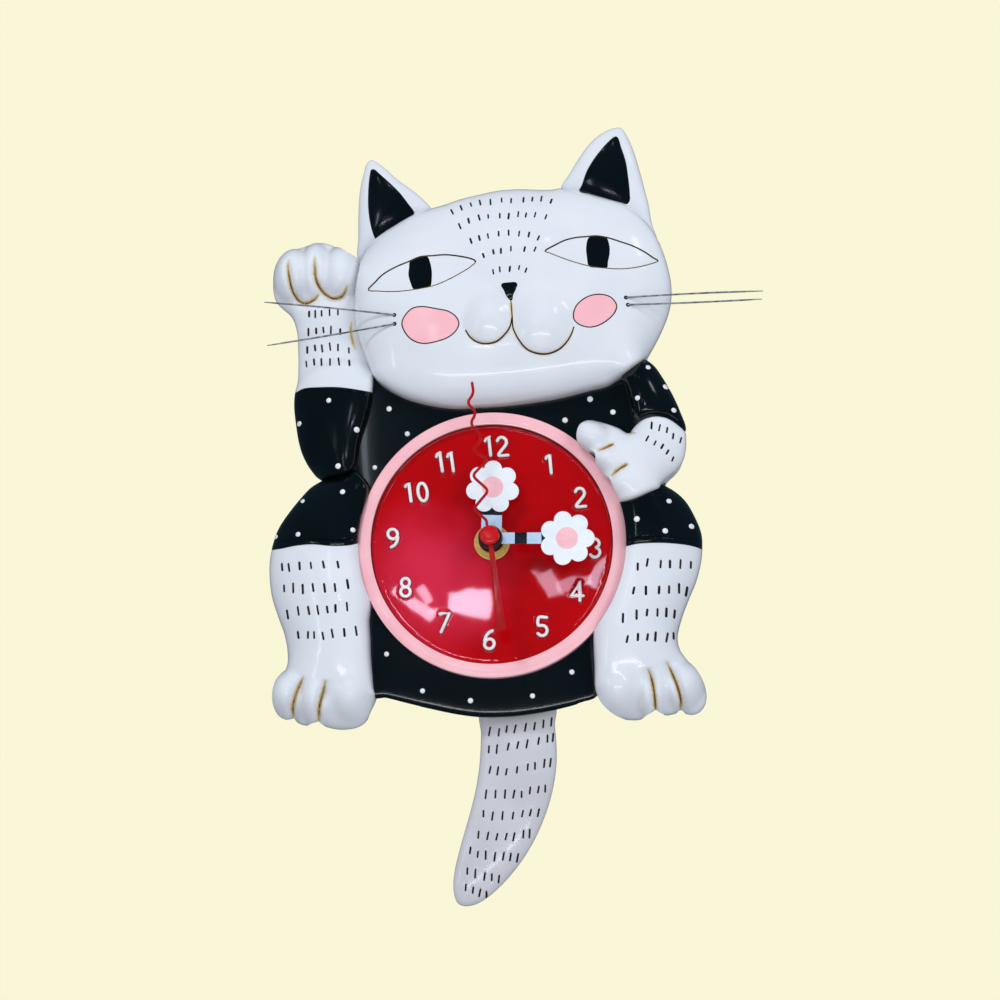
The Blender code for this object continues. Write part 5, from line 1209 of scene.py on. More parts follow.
def front_heights(places, owner):
    """Height and wash of each front vertex; owner is its layer."""
    height = np.zeros(len(places))
    for i, layer in enumerate(LAYERS):
        own = owner == i
        if own.any():
            height[own] = layer.height(places[own])
    cloud = Cloud(places)
    wash = np.zeros(len(places))
    for mark in MARKS:
        if mark.kind == "dot":
            radial = distance_to(mark.line, places)
            hit = radial < mark.half
            height[hit] += mark.depth * np.sqrt(np.maximum(1 - (radial[hit] / mark.half) ** 2, 0))
            continue
        hit, distance, share = cloud.near(mark.line, mark.closed, max(mark.half, mark.reach, 0.05))
        strength = fading(share, mark.fade)
        height[hit] -= mark.depth * strength * np.maximum(1 - distance / mark.half, 0) ** 0.8
        if mark.wash:
            spread = np.exp(-(distance / (0.42 * mark.reach)) ** 1.2)
            wash[hit] = np.maximum(wash[hit], mark.wash * strength ** 0.5 * spread)
    for line, closed in STROKES:
        hit, distance, _ = cloud.near(line, closed, STROKE_R)
        rise = np.where(distance < 0.725,
                        0.80 * np.clip((0.84 - distance) / 0.42, 0, 1) ** 0.8, 0)
        height[hit] = np.maximum(height[hit], floor_height(places[hit]) + rise)
    for socket in SOCKETS.values():
        radial = distance_to(socket, places)
        hit = radial < SOCKET_R
        height[hit] -= 1.5 * np.clip((SOCKET_R - radial[hit]) / (0.28 * SOCKET_R), 0, 1)
    # the white of head and paw turns brownish along their outlines, where they meet what lies round
    # them
    for name, amount, reach in (("head", 0.30, 1.1), ("paw_r", 0.35, 1.0)):
        hit, distance, _ = cloud.near(PARTS[name].outline, True, reach)
        white = np.array([LAYERS[k].paint == "paint_white" for k in owner[hit]])
        spread = np.where(white, amount * np.exp(-(distance / (0.4 * reach)) ** 1.2), 0)
        wash[hit] = np.maximum(wash[hit], spread * 0.35)
    return height, wash


def front_paint(centres, tri_layer):
    """Paint index of each front triangle."""
    paint = np.array([PAINT[LAYERS[k].paint] for k in tri_layer])
    cloud = Cloud(centres)
    for line, region_paint in REGIONS:
        paint[inside(line, centres)] = PAINT[region_paint]
    for mark in MARKS:
        if mark.kind == "dot":
            paint[distance_to(mark.line, centres) < mark.half] = PAINT[mark.paint]
        elif mark.paint:
            hit, _, _ = cloud.near(mark.line, mark.closed, mark.half)
            paint[hit] = PAINT[mark.paint]
    # edge is the dark red painted shade round the numerals and along the foot of the ring
    figure, edge = PAINT["paint_figure"], PAINT["red_painted_shade"]
    for line, closed in STROKES:
        hit, distance, _ = cloud.near(line, closed, STROKE_R)
        on_top = (distance < 0.71) | (paint[hit] == figure)
        paint[hit] = np.where(on_top, figure, edge)
    for socket in SOCKETS.values():
        paint[distance_to(socket, centres) < SOCKET_R] = PAINT["antique_line"]
    # a dark red band round the rim of the dial floor: painted shade where the floor meets the ring
    on_floor = np.array([layer.name == "floor" for layer in LAYERS])[tri_layer]
    paint[on_floor & (distance_to(FLOOR_CENTRE, centres) > FLOOR_R - 0.5)] = edge
    return paint


# ---------------------------------------------------------------- the closed casting
# Rounded back edge: height over the wall, share of the draft, extra turn-in. The last is on the
# wall itself.
BACK_EDGE = [(3.2, 0.84, 0.0), (1.1, 0.96, 0.35), (0.0, 1.0, 1.1)]
RECESS_L, RECESS_R = (-32.0, -39.5), (37.0, -35.0)   # where the round recess opens downwards
RECESS_DEPTH = 21.5
POCKET_DEPTH = 17.0
SIDE_PAINT = {PAINT["paint_white"]: PAINT["side_white"], PAINT["paint_black"]: PAINT["side_black"],
              PAINT["paint_pink"]: PAINT["paint_pink"], PAINT["paint_red"]: PAINT["paint_red"]}


def half_edges(tris):
    """Triangle on the left of each directed edge."""
    found = {}
    for number, (one, two, three) in enumerate(tris.tolist()):
        found[(one, two)] = number
        found[(two, three)] = number
        found[(three, one)] = number
    return found


class Casting:
    """One closed mesh: the painted front, steps between its layers, sides and a hollow back."""

    def __init__(self):
        self.verts, self.faces, self.paint, self.wash = [], [], [], []
        self.levels = {}        # plane vertex: (height, vertex) of all that stand on it
        self.build_front()
        self.split_edges()
        self.find_draft()
        self.build_back()
        self.build_layer_steps()
        self.build_sides()
        self.build_recess_walls()

    def add_vertex(self, place, height, key, wash=0.0):
        self.verts.append((place[0], height, place[1]))
        self.wash.append(wash)
        self.levels.setdefault(key, []).append((height, len(self.verts) - 1))
        return len(self.verts) - 1

    def build_front(self):
        self.plane, self.tris, self.tri_layer = plan_front()
        # a plane point gets one vertex for every layer that meets there
        count = len(self.plane)
        keys = self.tris + self.tri_layer[:, None] * count
        unique, inverse = np.unique(keys.ravel(), return_inverse=True)
        point, owner = unique % count, unique // count
        self.height, wash = front_heights(self.plane[point], owner)
        self.vertex_of = {}
        for k, (i, layer) in enumerate(zip(point, owner)):
            self.add_vertex(self.plane[i], self.height[k], int(i), wash[k])
            self.vertex_of[(int(i), int(layer))] = k
        self.faces = [tuple(tri) for tri in inverse.reshape(self.tris.shape)]
        self.paint = list(front_paint(self.plane[self.tris].mean(1), self.tri_layer))

    def split_edges(self):
        """Edges on the rim, and edges between two layers."""
        half = half_edges(self.tris)
        self.rim, self.steps = [], []
        for (start, end), tri in half.items():
            other = half.get((end, start))
            if other is None:
                self.rim.append((start, end, tri))
            elif start < end and self.tri_layer[tri] != self.tri_layer[other]:
                self.steps.append((start, end, tri, other))

    def find_draft(self):
        """How far each rim point draws in towards the wall."""
        rim_next = {start: end for start, end, _ in self.rim}
        self.loops = []
        left_over = set(rim_next)
        while left_over:
            at = min(left_over)
            loop = []
            while at in left_over:
                left_over.discard(at)
                loop.append(at)
                at = rim_next[at]
            self.loops.append(loop)
        self.draft, self.turn_in = {}, {}
        for loop in self.loops:
            side = normals(self.plane[loop], True)
            average = np.zeros_like(side)
            for k in range(-7, 8):
                average += np.roll(side, k, 0)
            average /= 15
            for at, way in zip(loop, average):
                self.draft[at] = np.array([way[0] * 2.0, way[1] * (3.4 if way[1] > 0 else 2.0)])
                self.turn_in[at] = way

    def plan_back(self):
        """Back triangulation: points, triangles, depth of each, sources of each point."""
        plane, rim = self.plane, self.rim
        sketch = Sketch()
        ids = sorted({edge[0] for edge in rim} | {edge[1] for edge in rim})
        where = {at: i for i, at in enumerate(ids)}
        sketch.add(plane[ids])
        sketch.edges += [(where[start], where[end]) for start, end, _ in rim]
        foot = [at for at in ids if plane[at][1] < -60 and -40 < plane[at][0] < 45]
        left = min(foot, key=lambda at: abs(plane[at][0] - RECESS_L[0]))
        right = min(foot, key=lambda at: abs(plane[at][0] - RECESS_R[0]))
        corner = sketch.count
        sketch.add([RECESS_L, RECESS_R])
        sketch.edges += [(corner, where[left]), (corner + 1, where[right])]
        # round recess, open below
        end_angle = math.atan2(RECESS_L[1], RECESS_L[0])
        start_angle = math.atan2(RECESS_R[1], RECESS_R[0])
        end_r, start_r = math.hypot(*RECESS_L), math.hypot(*RECESS_R)
        sweep = []
        for i in range(97):
            angle = start_angle + (2 * math.pi + end_angle - start_angle) * i / 96
            radius = start_r + (end_r - start_r) * i / 96
            sweep.append((radius * math.cos(angle), radius * math.sin(angle)))
        sweep = np.array(sweep)
        first = sketch.count
        sketch.add(sweep[1:-1], False)
        sketch.edges += [(corner + 1, first), (sketch.count - 1, corner)]
        recess = np.concatenate([sweep, [RECESS_L, plane[left], (plane[left][0], -95),
                                         (plane[right][0], -95), plane[right], RECESS_R]])
        # oval pocket behind the head
        pocket = np.array([(8 + 50 * math.cos(angle), 112 + 34 * math.sin(angle))
                           for angle in np.linspace(0, 2 * np.pi, 72, False)])
        sketch.add(pocket, True)
        loose = lattice(FIGURE_LOW, FIGURE_HIGH, 4.0)
        rim_distance = Cloud(loose).distance(plane[self.loops[0]], 6.4)
        sketch.fill(loose[rim_distance >= 5.4], 1.6)
        points, tris, origin = sketch.solve(True)
        centres = points[tris].mean(1)
        odd = np.zeros(len(centres), bool)
        for start, end, _ in rim:
            low, high = plane[start], plane[end]
            if low[1] != high[1]:
                crosses = (low[1] > centres[:, 1]) != (high[1] > centres[:, 1])
                slope_x = (high[0] - low[0]) * (centres[:, 1] - low[1]) / (high[1] - low[1])
                odd ^= crosses & (centres[:, 0] < slope_x + low[0])
        tris, centres = tris[odd], centres[odd]
        depth = np.where(inside(recess, centres), RECESS_DEPTH,
                         np.where(inside(pocket, centres), POCKET_DEPTH, 0.0))
        front_of = {}
        for i, sources in enumerate(origin):
            for source in sources:
                if source < len(ids):
                    front_of[i] = ids[source]
        return points, tris, depth, front_of

    def back_key(self, i):
        return self.front_of.get(i, ("b", i))

    def back_vertex(self, i, height):
        if (i, height) not in self.back_ids:
            shift = np.zeros(2)
            if i in self.front_of and height < 1:
                at = self.front_of[i]
                shift = self.draft[at] + BACK_EDGE[-1][2] * self.turn_in[at]
            place = (self.back_points[i][0] + shift[0], self.back_points[i][1] + shift[1])
            self.back_ids[(i, height)] = self.add_vertex(place, height, self.back_key(i))
        return self.back_ids[(i, height)]

    def build_back(self):
        self.back_points, tris, self.depth, self.front_of = self.plan_back()
        self.back_ids = {}
        for number, (one, two, three) in enumerate(tris.tolist()):
            height = float(self.depth[number])
            self.faces.append(tuple(self.back_vertex(i, height) for i in (one, three, two)))
            self.paint.append(PAINT["raw_resin"])
        self.back_half = half_edges(tris)

    def between(self, key, start, end):
        """Vertices on one upright line strictly between two of them."""
        start_height, end_height = self.verts[start][1], self.verts[end][1]
        low, high = min(start_height, end_height), max(start_height, end_height)
        found = sorted({(height, k) for height, k in self.levels.get(key, [])
                        if low + 1e-6 < height < high - 1e-6})
        found = [k for _, k in found]
        return found if start_height < end_height else found[::-1]

    def apart(self, one, two):
        return norm(np.subtract(self.verts[one], self.verts[two])) > 1e-5

    def add_wall(self, start, end, top_start, top_end, foot_start, foot_end, paint):
        """Upright wall between an upper and a lower edge over one plane edge."""
        loop = ([top_end, top_start] + self.between(start, top_start, foot_start)
                + [foot_start, foot_end] + self.between(end, foot_end, top_end))
        face = []
        for k in loop:
            if not face or (face[-1] != k and self.apart(face[-1], k)):
                face.append(k)
        if len(face) > 1 and (face[0] == face[-1] or not self.apart(face[0], face[-1])):
            face.pop()
        if len(set(face)) > 2:
            self.faces.append(tuple(face))
            self.paint.append(paint)

    def build_layer_steps(self):
        for start, end, tri, other in self.steps:
            layers = int(self.tri_layer[tri]), int(self.tri_layer[other])
            one, two = [(self.vertex_of[(start, layer)], self.vertex_of[(end, layer)])
                        for layer in layers]
            first_higher = (self.height[one[0]] + self.height[one[1]]
                            > self.height[two[0]] + self.height[two[1]])
            upper = layers[0] if first_higher else layers[1]
            self.add_wall(start, end, *one, *two, PAINT[LAYERS[upper].paint])

    def edge_vertex(self, at, ring):
        """Vertex of the rounded back edge below a rim point."""
        if (at, ring) not in self.edge_ids:
            height, share, turn = BACK_EDGE[ring]
            place = self.plane[at] + share * self.draft[at] + turn * self.turn_in[at]
            self.edge_ids[(at, ring)] = self.add_vertex(place, height, at)
        return self.edge_ids[(at, ring)]

    def build_sides(self):
        self.edge_ids = {}
        back_of = {front: i for i, front in self.front_of.items()}
        for start, end, tri in self.rim:
            i, j = back_of[start], back_of[end]
            back_tri = self.back_half.get((i, j))
            if back_tri is None:
                continue
            layer = int(self.tri_layer[tri])
            depth = float(self.depth[back_tri])
            side_paint = SIDE_PAINT.get(int(self.paint[tri]), PAINT["side_white"])
            upper = self.vertex_of[(start, layer)], self.vertex_of[(end, layer)]
            back = self.back_vertex(i, depth), self.back_vertex(j, depth)
            if depth > 1:
                self.add_wall(start, end, *upper, *back, side_paint)
                continue
            # painted side, then the bare rounded edge that lies against the wall
            for ring, (height, _, _) in enumerate(BACK_EDGE):
                lower = back
                if height != 0:
                    lower = self.edge_vertex(start, ring), self.edge_vertex(end, ring)
                self.add_wall(start, end, *upper, *lower,
                              side_paint if ring == 0 else PAINT["raw_resin"])
                upper = lower

    def build_recess_walls(self):
        for (i, j), tri in self.back_half.items():
            other = self.back_half.get((j, i))
            if other is None or i >= j or self.depth[tri] == self.depth[other]:
                continue
            near, far = float(self.depth[tri]), float(self.depth[other])
            near_i, near_j = self.back_vertex(i, near), self.back_vertex(j, near)
            far_i, far_j = self.back_vertex(i, far), self.back_vertex(j, far)
            loop = ([near_i, near_j] + self.between(self.back_key(j), near_j, far_j)
                    + [far_j, far_i] + self.between(self.back_key(i), far_i, near_i))
            self.faces.append(tuple(dict.fromkeys(loop)))
            self.paint.append(PAINT["raw_resin"])


def place_mesh(name, shape, finishes, smooth, rides, replaces, wash=None):
    """Object from (vertices as (x, height, z), faces, material indices if any)."""
    verts = np.array(shape[0], float)
    verts = np.stack([verts[:, 0], -verts[:, 1], verts[:, 2] - REST_Z], 1) * MM
    mesh = bpy.data.meshes.new(name)
    mesh.from_pydata([tuple(vert) for vert in verts], [],
                     [tuple(int(i) for i in face) for face in shape[1]])
    for finish_name in finishes:
        mesh.materials.append(MATERIALS[finish_name])
    if len(shape) > 2:
        mesh.polygons.foreach_set("material_index", np.array(shape[2], np.int32))
    if wash is not None:
        attribute = mesh.attributes.new("wash", "FLOAT", "POINT")
        attribute.data.foreach_set("value", np.array(wash, np.float32))
    mesh.validate()
    mesh.update()
    mesh.shade_smooth()
    mesh.set_sharp_from_angle(angle=math.radians(smooth))
    thing = bpy.data.objects.new(name, mesh)
    bpy.context.scene.collection.objects.link(thing)
    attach(thing, rides)
    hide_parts(replaces)


casting = Casting()
place_mesh("cat_figure", (casting.verts, casting.faces, casting.paint), PAINTS, smooth=42.0,
           rides="figure", replaces="resin_case", wash=casting.wash)


# ---------------------------------------------------------------- small shapes
def lathe(profile, segments, shape=None):
    """Surface of revolution about the hand axis.

    profile is (radius, height), with both ends on the axis or else closed on itself;
    shape(radius, height, angle) may move points.
    """
    verts, faces, rings = [], [], []
    for radius, height in profile:
        start = len(verts)
        if radius <= 1e-9:
            verts.append((0.0, height, 0.0))
            rings.append([start])
            continue
        for k in range(segments):
            angle = 2 * math.pi * k / segments
            out, up = shape(radius, height, angle) if shape else (radius, height)
            verts.append((out * math.cos(angle), up, out * math.sin(angle)))
        rings.append(list(range(start, len(verts))))
    closed = profile[0][0] > 0
    for i in range(len(rings) if closed else len(rings) - 1):
        this, after = rings[i], rings[(i + 1) % len(rings)]
        for k in range(segments):
            turn = (k + 1) % segments
            if len(this) == 1:
                faces.append((this[0], after[k], after[turn]))
            elif len(after) == 1:
                faces.append((this[k], after[0], this[turn]))
            else:
                faces.append((this[k], after[k], after[turn], this[turn]))
    return verts, faces


def tube(path, radius, taper, segments=10):
    """Round wire along a path of (x, height, z) with domed ends."""
    path = np.array(path, float)
    along = np.gradient(path, axis=0)
    along /= norm(along, axis=1)[:, None]
    side = np.cross(along, [0.0, 1.0, 0.0])
    side /= np.maximum(norm(side, axis=1), 1e-9)[:, None]
    over = np.cross(side, along)
    last = len(path) - 1
    tip = taper(1.0)
    rings = [(path[0] - along[0] * radius * 0.9, radius * 0.35, 0),
             (path[0] - along[0] * radius * 0.6, radius * 0.8, 0)]
    rings += [(path[i], radius * taper(i / last), i) for i in range(len(path))]
    rings += [(path[-1] + along[-1] * radius * tip * 0.6, radius * tip * 0.8, last),
              (path[-1] + along[-1] * radius * tip * 0.9, radius * tip * 0.35, last)]
    verts, faces = [], []
    for centre, ring_r, i in rings:
        for k in range(segments):
            angle = 2 * math.pi * k / segments
            verts.append(tuple(centre + ring_r * (math.cos(angle) * side[i]
                                                  + math.sin(angle) * over[i])))
    for i in range(len(rings) - 1):
        this, after = i * segments, (i + 1) * segments
        for k in range(segments):
            turn = (k + 1) % segments
            faces.append((this + k, this + turn, after + turn, after + k))
    faces.append(tuple(range(segments))[::-1])
    faces.append(tuple((len(rings) - 1) * segments + k for k in range(segments)))
    return verts, faces


def edge_distance(places, segments, reach):
    distance = np.full(len(places), reach)
    for start, end in segments:
        near = ((places[:, 0] > min(start[0], end[0]) - reach)
                & (places[:, 0] < max(start[0], end[0]) + reach)
                & (places[:, 1] > min(start[1], end[1]) - reach)
                & (places[:, 1] < max(start[1], end[1]) + reach))
        length = norm(end - start)
        if not near.any() or length < 1e-9:
            continue
        offset = places[near] - start
        share = np.clip(offset @ (end - start) / (length * length), 0, 1)
        away = np.hypot(*(offset - share[:, None] * (end - start)).T)
        distance[near] = np.minimum(distance[near], away)
    return distance


def used_points(tris):
    """Used point numbers, and the new number of each."""
    used = np.unique(tris)
    return used, {int(old): new for new, old in enumerate(used)}


def two_sided(places, renumber, tris, front, back, rim):
    """Front and back sheets at two heights, joined along the rim."""
    count = len(places)
    verts = [(spot[0], height, spot[1]) for spot, height in zip(places, front)]
    verts += [(spot[0], height, spot[1]) for spot, height in zip(places, back)]
    faces = [tuple(renumber[int(i)] for i in tri) for tri in tris]
    faces += [tuple(renumber[int(i)] + count for i in tri[::-1]) for tri in tris]
    for start, end in rim:
        one, two = renumber[start], renumber[end]
        faces.append((two, one, one + count, two + count))
    return verts, faces


def plate(outlines, lines, hole, colour, back, front, edge, step, relief=None):
    """Stamped plate: the union of outlines less a hole, with its edges rolled over.

    lines are where the paint changes, colour gives the material index at places.
    """
    sketch = Sketch()
    for outline in outlines:
        sketch.add(outline, True)
    for line, closed in lines:
        sketch.add(line, closed)
    sketch.add(hole, True)
    for outline in outlines + [hole]:
        inward = -1 if outline is hole else 1
        for amount in (edge * 0.3, edge):
            sketch.fill(inset(outline, inward * amount), edge * 0.45)
    everything = np.concatenate(outlines)
    sketch.fill(lattice(everything.min(0) - 1, everything.max(0) + 1, step), 0.4 * step)
    plane, tris, _ = sketch.solve()
    centres = plane[tris].mean(1)
    keep = np.zeros(len(centres), bool)
    for outline in outlines:
        keep |= inside(outline, centres)
    keep &= ~inside(hole, centres)
    tris, centres = tris[keep], centres[keep]
    half = half_edges(tris)
    rim = [(start, end) for (start, end) in half if (end, start) not in half]
    used, renumber = used_points(tris)
    places = plane[used]
    distance = edge_distance(places, [(plane[start], plane[end]) for start, end in rim], edge)
    roll = edge * (1 - np.sqrt(np.maximum(1 - (1 - distance / edge) ** 2, 0)))
    front_heights_ = front - roll + (relief(places) if relief else 0)
    verts, faces = two_sided(places, renumber, tris, front_heights_, back + roll, rim)
    paint = list(colour(centres))
    return verts, faces, paint + paint + [paint[half[edge_key]] for edge_key in rim]


def join(*shapes):
    verts, faces, paint = [], [], []
    for more_verts, more_faces, more_paint in shapes:
        start = len(verts)
        verts += list(more_verts)
        faces += [tuple(i + start for i in face) for face in more_faces]
        paint += list(more_paint)
    return verts, faces, paint


def painted(shape, index):
    return shape[0], shape[1], [index] * len(shape[1])


# ---------------------------------------------------------------- tail
TAIL_HEIGHT = 11.0        # middle of its thickness
TAIL_EDGE = 0.25          # half thickness at the outline
TAIL_DASH_HALF = 0.42
tail = Part(OUTLINE["tail"], edge=0.0, rise=5.3, power=0.85, crown=2.4, stack=False)


def tail_front(places):
    return TAIL_HEIGHT + TAIL_EDGE + tail.height(places)


def build_tail():
    sketch = Sketch()
    sketch.add(tail.outline, True)
    marks = []
    for i, (across, up) in enumerate(TAIL_DASHES):
        angle = math.radians(7) + 0.24 * jitter(i, up)
        half_length = 1.5 * (1 + 0.4 * jitter(i, across))
        mark = dash_line(across, up, angle, half_length, tail_front, first=16.0)
        marks.append(mark)
        sketch.add_dash(mark, TAIL_DASH_HALF)
    sketch.fill_edge_rows(tail.outline, (0.2, 0.55, 1.1, 1.9), clear=0.17)
    sketch.fill(lattice(tail.outline.min(0) - 1, tail.outline.max(0) + 1, STEP), 0.42)
    plane, tris, _ = sketch.solve()
    centres = plane[tris].mean(1)
    keep = inside(tail.outline, centres)
    tris, centres = tris[keep], centres[keep]
    used, renumber = used_points(tris)
    places = plane[used]
    thickness = TAIL_EDGE + tail.height_inside(places)
    front, back = TAIL_HEIGHT + thickness, TAIL_HEIGHT - thickness * 0.96
    cloud, centre_cloud = Cloud(places), Cloud(centres)
    paint = np.zeros(len(centres), int)
    for mark in marks:
        hit, distance, _ = cloud.near(mark, False, TAIL_DASH_HALF)
        front[hit] -= 0.42 * (1 - distance / TAIL_DASH_HALF) ** 0.8
        hit, _, _ = centre_cloud.near(mark, False, TAIL_DASH_HALF)
        paint[hit] = 1
    half = set()
    for one, two, three in tris:
        half |= {(int(one), int(two)), (int(two), int(three)), (int(three), int(one))}
    rim = [(start, end) for start, end in half if (end, start) not in half]
    verts, faces = two_sided(places, renumber, tris, front, back, rim)
    return verts, faces, list(paint) + [0] * (len(tris) + len(rim))


tail_shape = build_tail()
# the tail's white is the greyer copy, painted shade
place_mesh("cat_tail", tail_shape, ["tail_white_painted_shade", "antique_dash"], smooth=50.0,
           rides="pendulum", replaces="tail_pendulum",
           wash=[0.0] * len(tail_shape[0]))


# ---------------------------------------------------------------- whiskers
def whisker_path(root, tip, bow_share):
    """Nearly straight from root to tip, arched where the head would be in the way."""
    root_height = float(head.height(root[None])[0])
    share = np.linspace(0, 1, 44)
    line = root[None] * (1 - share)[:, None] + tip[None, :2] * share[:, None]
    height = root_height + (tip[2] - root_height) * share
    skin = np.where(inside(head.outline, line), head.height(line), 0)
    arch = np.sin(np.pi * np.clip(share * 1.15, 0, 1)) ** 0.7
    lack = np.max(np.where(share > 0.05, (skin + 0.9 - height) / np.maximum(arch, 0.25), 0))
    rise = max(lack, 0.0) * arch
    height = height + rise
    bow = 0.35 * np.sin(np.pi * share)
    # the arch moves along the line of sight, so the wire still looks straight
    path = [(spot[0], up, spot[1] + math.tan(ELEVATION) * lift + bend * bow_share)
            for spot, up, lift, bend in zip(line, height, rise, bow)]
    return [(root[0], root_height - 1.2, root[1])] + path


for key, (_, tip) in WHISKERS.items():
    wire = tube(whisker_path(SOCKETS[key], np.array(tip), 1 if "upper" in key else -0.6), 0.40,
                lambda share: 1.0 if share < 0.86 else 1.0 - 0.45 * (share - 0.86) / 0.14)
    place_mesh("whisker_wire_" + key, wire, ["steel_wire"], smooth=60.0, rides="figure",
               replaces="whisker_" + key)

# ---------------------------------------------------------------- flower hands
PETAL, STEM, BAND, HEART, HUB = range(5)
FLOWER_FINISHES = ["enamel_white", "enamel_sky", "enamel_black", "enamel_pink", "hub_black"]


def petals(centre, radius, turn, count=7):
    outline = []
    far, petal_r = 0.665 * radius, 0.335 * radius
    for i in range(count):
        for k in range(16):
            angle = math.pi / count * (k / 8 - 1)
            reach = far * math.cos(angle)
            reach += math.sqrt(max(petal_r * petal_r - (far * math.sin(angle)) ** 2, 0))
            angle = turn + 2 * math.pi * i / count + angle
            outline.append((centre[0] + reach * math.cos(angle),
                            centre[1] + reach * math.sin(angle)))
    return np.array(outline)


def flower_hand(name, replaces, rides, reach, radius, stem_width, hub_r, bore_r, back, front,
                collar, clockwise, bands):
    """A flower on a banded stem; clockwise is degrees from twelve, collar the sleeve's back."""
    angle = math.radians(90 - clockwise)
    along = np.array([math.cos(angle), math.sin(angle)])
    side = np.array([-math.sin(angle), math.cos(angle)])
    centre = along * reach
    half = stem_width / 2
    stem_end = along * (reach - 0.55 * radius)
    stem = np.array([-side * half, -side * half + stem_end, side * half + stem_end, side * half])
    bloom = petals(centre, radius, angle)
    heart_r = 0.40 * radius
    lines = [(circle(centre, heart_r, 56), True)]
    for band in bands:
        lines.append((np.array([side * half * 0.995 + along * band,
                                -side * half * 0.995 + along * band]), False))

    def colour(places):
        run = places @ along
        paint = np.full(len(places), STEM)
        for i, band in enumerate(bands):
            paint = np.where(run > band, BAND if i % 2 == 0 else STEM, paint)
        paint = np.where(inside(bloom, places), PETAL, paint)
        paint = np.where(np.hypot(*(places - centre).T) < heart_r, HEART, paint)
        return np.where(np.hypot(*places.T) < hub_r, HUB, paint)

    def heart_relief(places):
        radial = np.hypot(*(places - centre).T)
        return 0.16 * np.clip((heart_r - radial) / 0.5, 0, 1) ** 0.5

    sheet = plate([bloom, stem, circle((0, 0), hub_r, 56)], lines, circle((0, 0), bore_r, 40),
                  colour, back, front, edge=0.16, step=1.2, relief=heart_relief)
    sleeve = lathe([(bore_r, collar), (bore_r + 0.7, collar), (bore_r + 0.9, collar + 0.2),
                    (bore_r + 0.9, back + 0.1), (bore_r, back + 0.1)], 48)
    boss = lathe([(bore_r, front - 0.1), (bore_r, front + 0.15), (bore_r + 0.15, front + 0.3),
                  (hub_r - 1.2, front + 0.3), (hub_r - 0.8, front + 0.1),
                  (hub_r - 0.8, front - 0.1)], 56)
    place_mesh(name, join(sheet, painted(sleeve, HUB), painted(boss, HUB)), FLOWER_FINISHES,
               smooth=35.0, rides=rides, replaces=replaces)


flower_hand("flower_hour_hand", "hour_hand", "hour_arbor", reach=23.4, radius=11.8,
            stem_width=9.0, hub_r=5.6, bore_r=2.8, back=33.4, front=34.1, collar=32.2,
            clockwise=1.6, bands=(10.9,))
flower_hand("flower_minute_hand", "minute_hand", "minute_arbor", reach=33.4, radius=12.1,
            stem_width=5.0, hub_r=5.3, bore_r=1.9, back=37.5, front=38.2, collar=36.4,
            clockwise=90.5, bands=(10.6, 15.9, 22.2))

# ---------------------------------------------------------------- seconds hand
ZIGZAG = table("""
0.0,0.0 -1.0,3.2 -1.4,6.8 -7.2,11.7 -0.4,19.8 -7.6,26.5 -0.9,33.7 -7.5,37.6 -2.9,43.8 -8.8,49.6
-5.6,54.6 -10.1,59.0 -7.0,62.9 -7.7,67.8""")
PADDLE = table("-0.95,0.0 0.95,0.0 7.4,-41.2 3.2,-42.2")
SECONDS_BORE_R = 0.9


def rounded(points, share_at):
    """Corners of an open line eased by a share of half their shorter side."""
    corners = np.array(points, float)
    line = [corners[0]]
    for i in range(1, len(corners) - 1):
        before, corner, after = corners[i - 1], corners[i], corners[i + 1]
        cut = share_at(i) * 0.5 * min(norm(corner - before), norm(after - corner))
        start = corner + (before - corner) / norm(before - corner) * cut
        end = corner + (after - corner) / norm(after - corner) * cut
        line += [(1 - t) ** 2 * start + 2 * t * (1 - t) * corner + t * t * end
                 for t in np.linspace(0, 1, 7)]
    line.append(corners[-1])
    return np.array(line)


def build_seconds():
    # crisp corners near the hub, soft waves further out
    line = rounded(ZIGZAG, lambda i: 0.42 if i < 8 else 0.95)
    sheet = plate([capsule(line, 0.62, 4), np.array(PADDLE), circle((0, 0), 3.2, 40)], [],
                  circle((0, 0), SECONDS_BORE_R, 20), lambda places: np.zeros(len(places), int),
                  back=44.6, front=45.2, edge=0.14, step=1.3)
    sleeve = lathe([(SECONDS_BORE_R, 42.6), (1.4, 42.6), (1.6, 42.8), (1.6, 44.7),
                    (SECONDS_BORE_R, 44.7)], 32)
    return join(sheet, painted(sleeve, 0))


place_mesh("zigzag_seconds_hand", build_seconds(), ["enamel_red"], smooth=35.0,
           rides="seconds_arbor", replaces="seconds_hand")

# ---------------------------------------------------------------- cap, nuts and washer
# profiles are radius,height
CAP_PROFILE = table("""
0.0,46.7 0.9,46.7 0.9,45.8 1.1,45.6 3.8,45.6 4.16,45.62 4.3,45.8 4.34,46.1 4.28,46.45 4.1,46.85
3.7,47.15 3.0,47.34 2.1,47.44 1.1,47.49 0.0,47.5""")
MINUTE_NUT_PROFILE = table("""
1.9,38.9 4.6,38.9 4.9,39.0 5.15,39.3 5.15,39.9 4.85,40.05 4.85,40.3 5.2,40.45 5.25,41.4 5.0,41.8
4.6,42.0 3.6,42.0 3.3,41.85 1.9,41.85""")
HEX_NUT_PROFILE = table("""
4.4,27.45 5.65,27.45 6.6,27.65 6.6,30.0 5.65,30.2 4.9,30.2 4.4,29.8""")
WASHER_PROFILE = table("""
4.5,26.32 7.6,26.32 7.8,26.42 7.9,26.62 7.86,26.86 7.6,27.02 7.3,27.05 7.0,26.95 6.8,26.85
5.6,26.85 5.3,27.0 5.0,27.1 4.7,27.1 4.5,26.95""")
KNURL_DEPTH, KNURL_TEETH, KNURL_FROM_R = 0.14, 36, 5.1
HEX_FLAT_R, HEX_CORNER_R = 5.72, 6.5


def knurled(radius, height, angle):
    if radius >= KNURL_FROM_R:
        radius = radius - KNURL_DEPTH * (0.5 + 0.5 * math.cos(angle * KNURL_TEETH))
    return radius, height


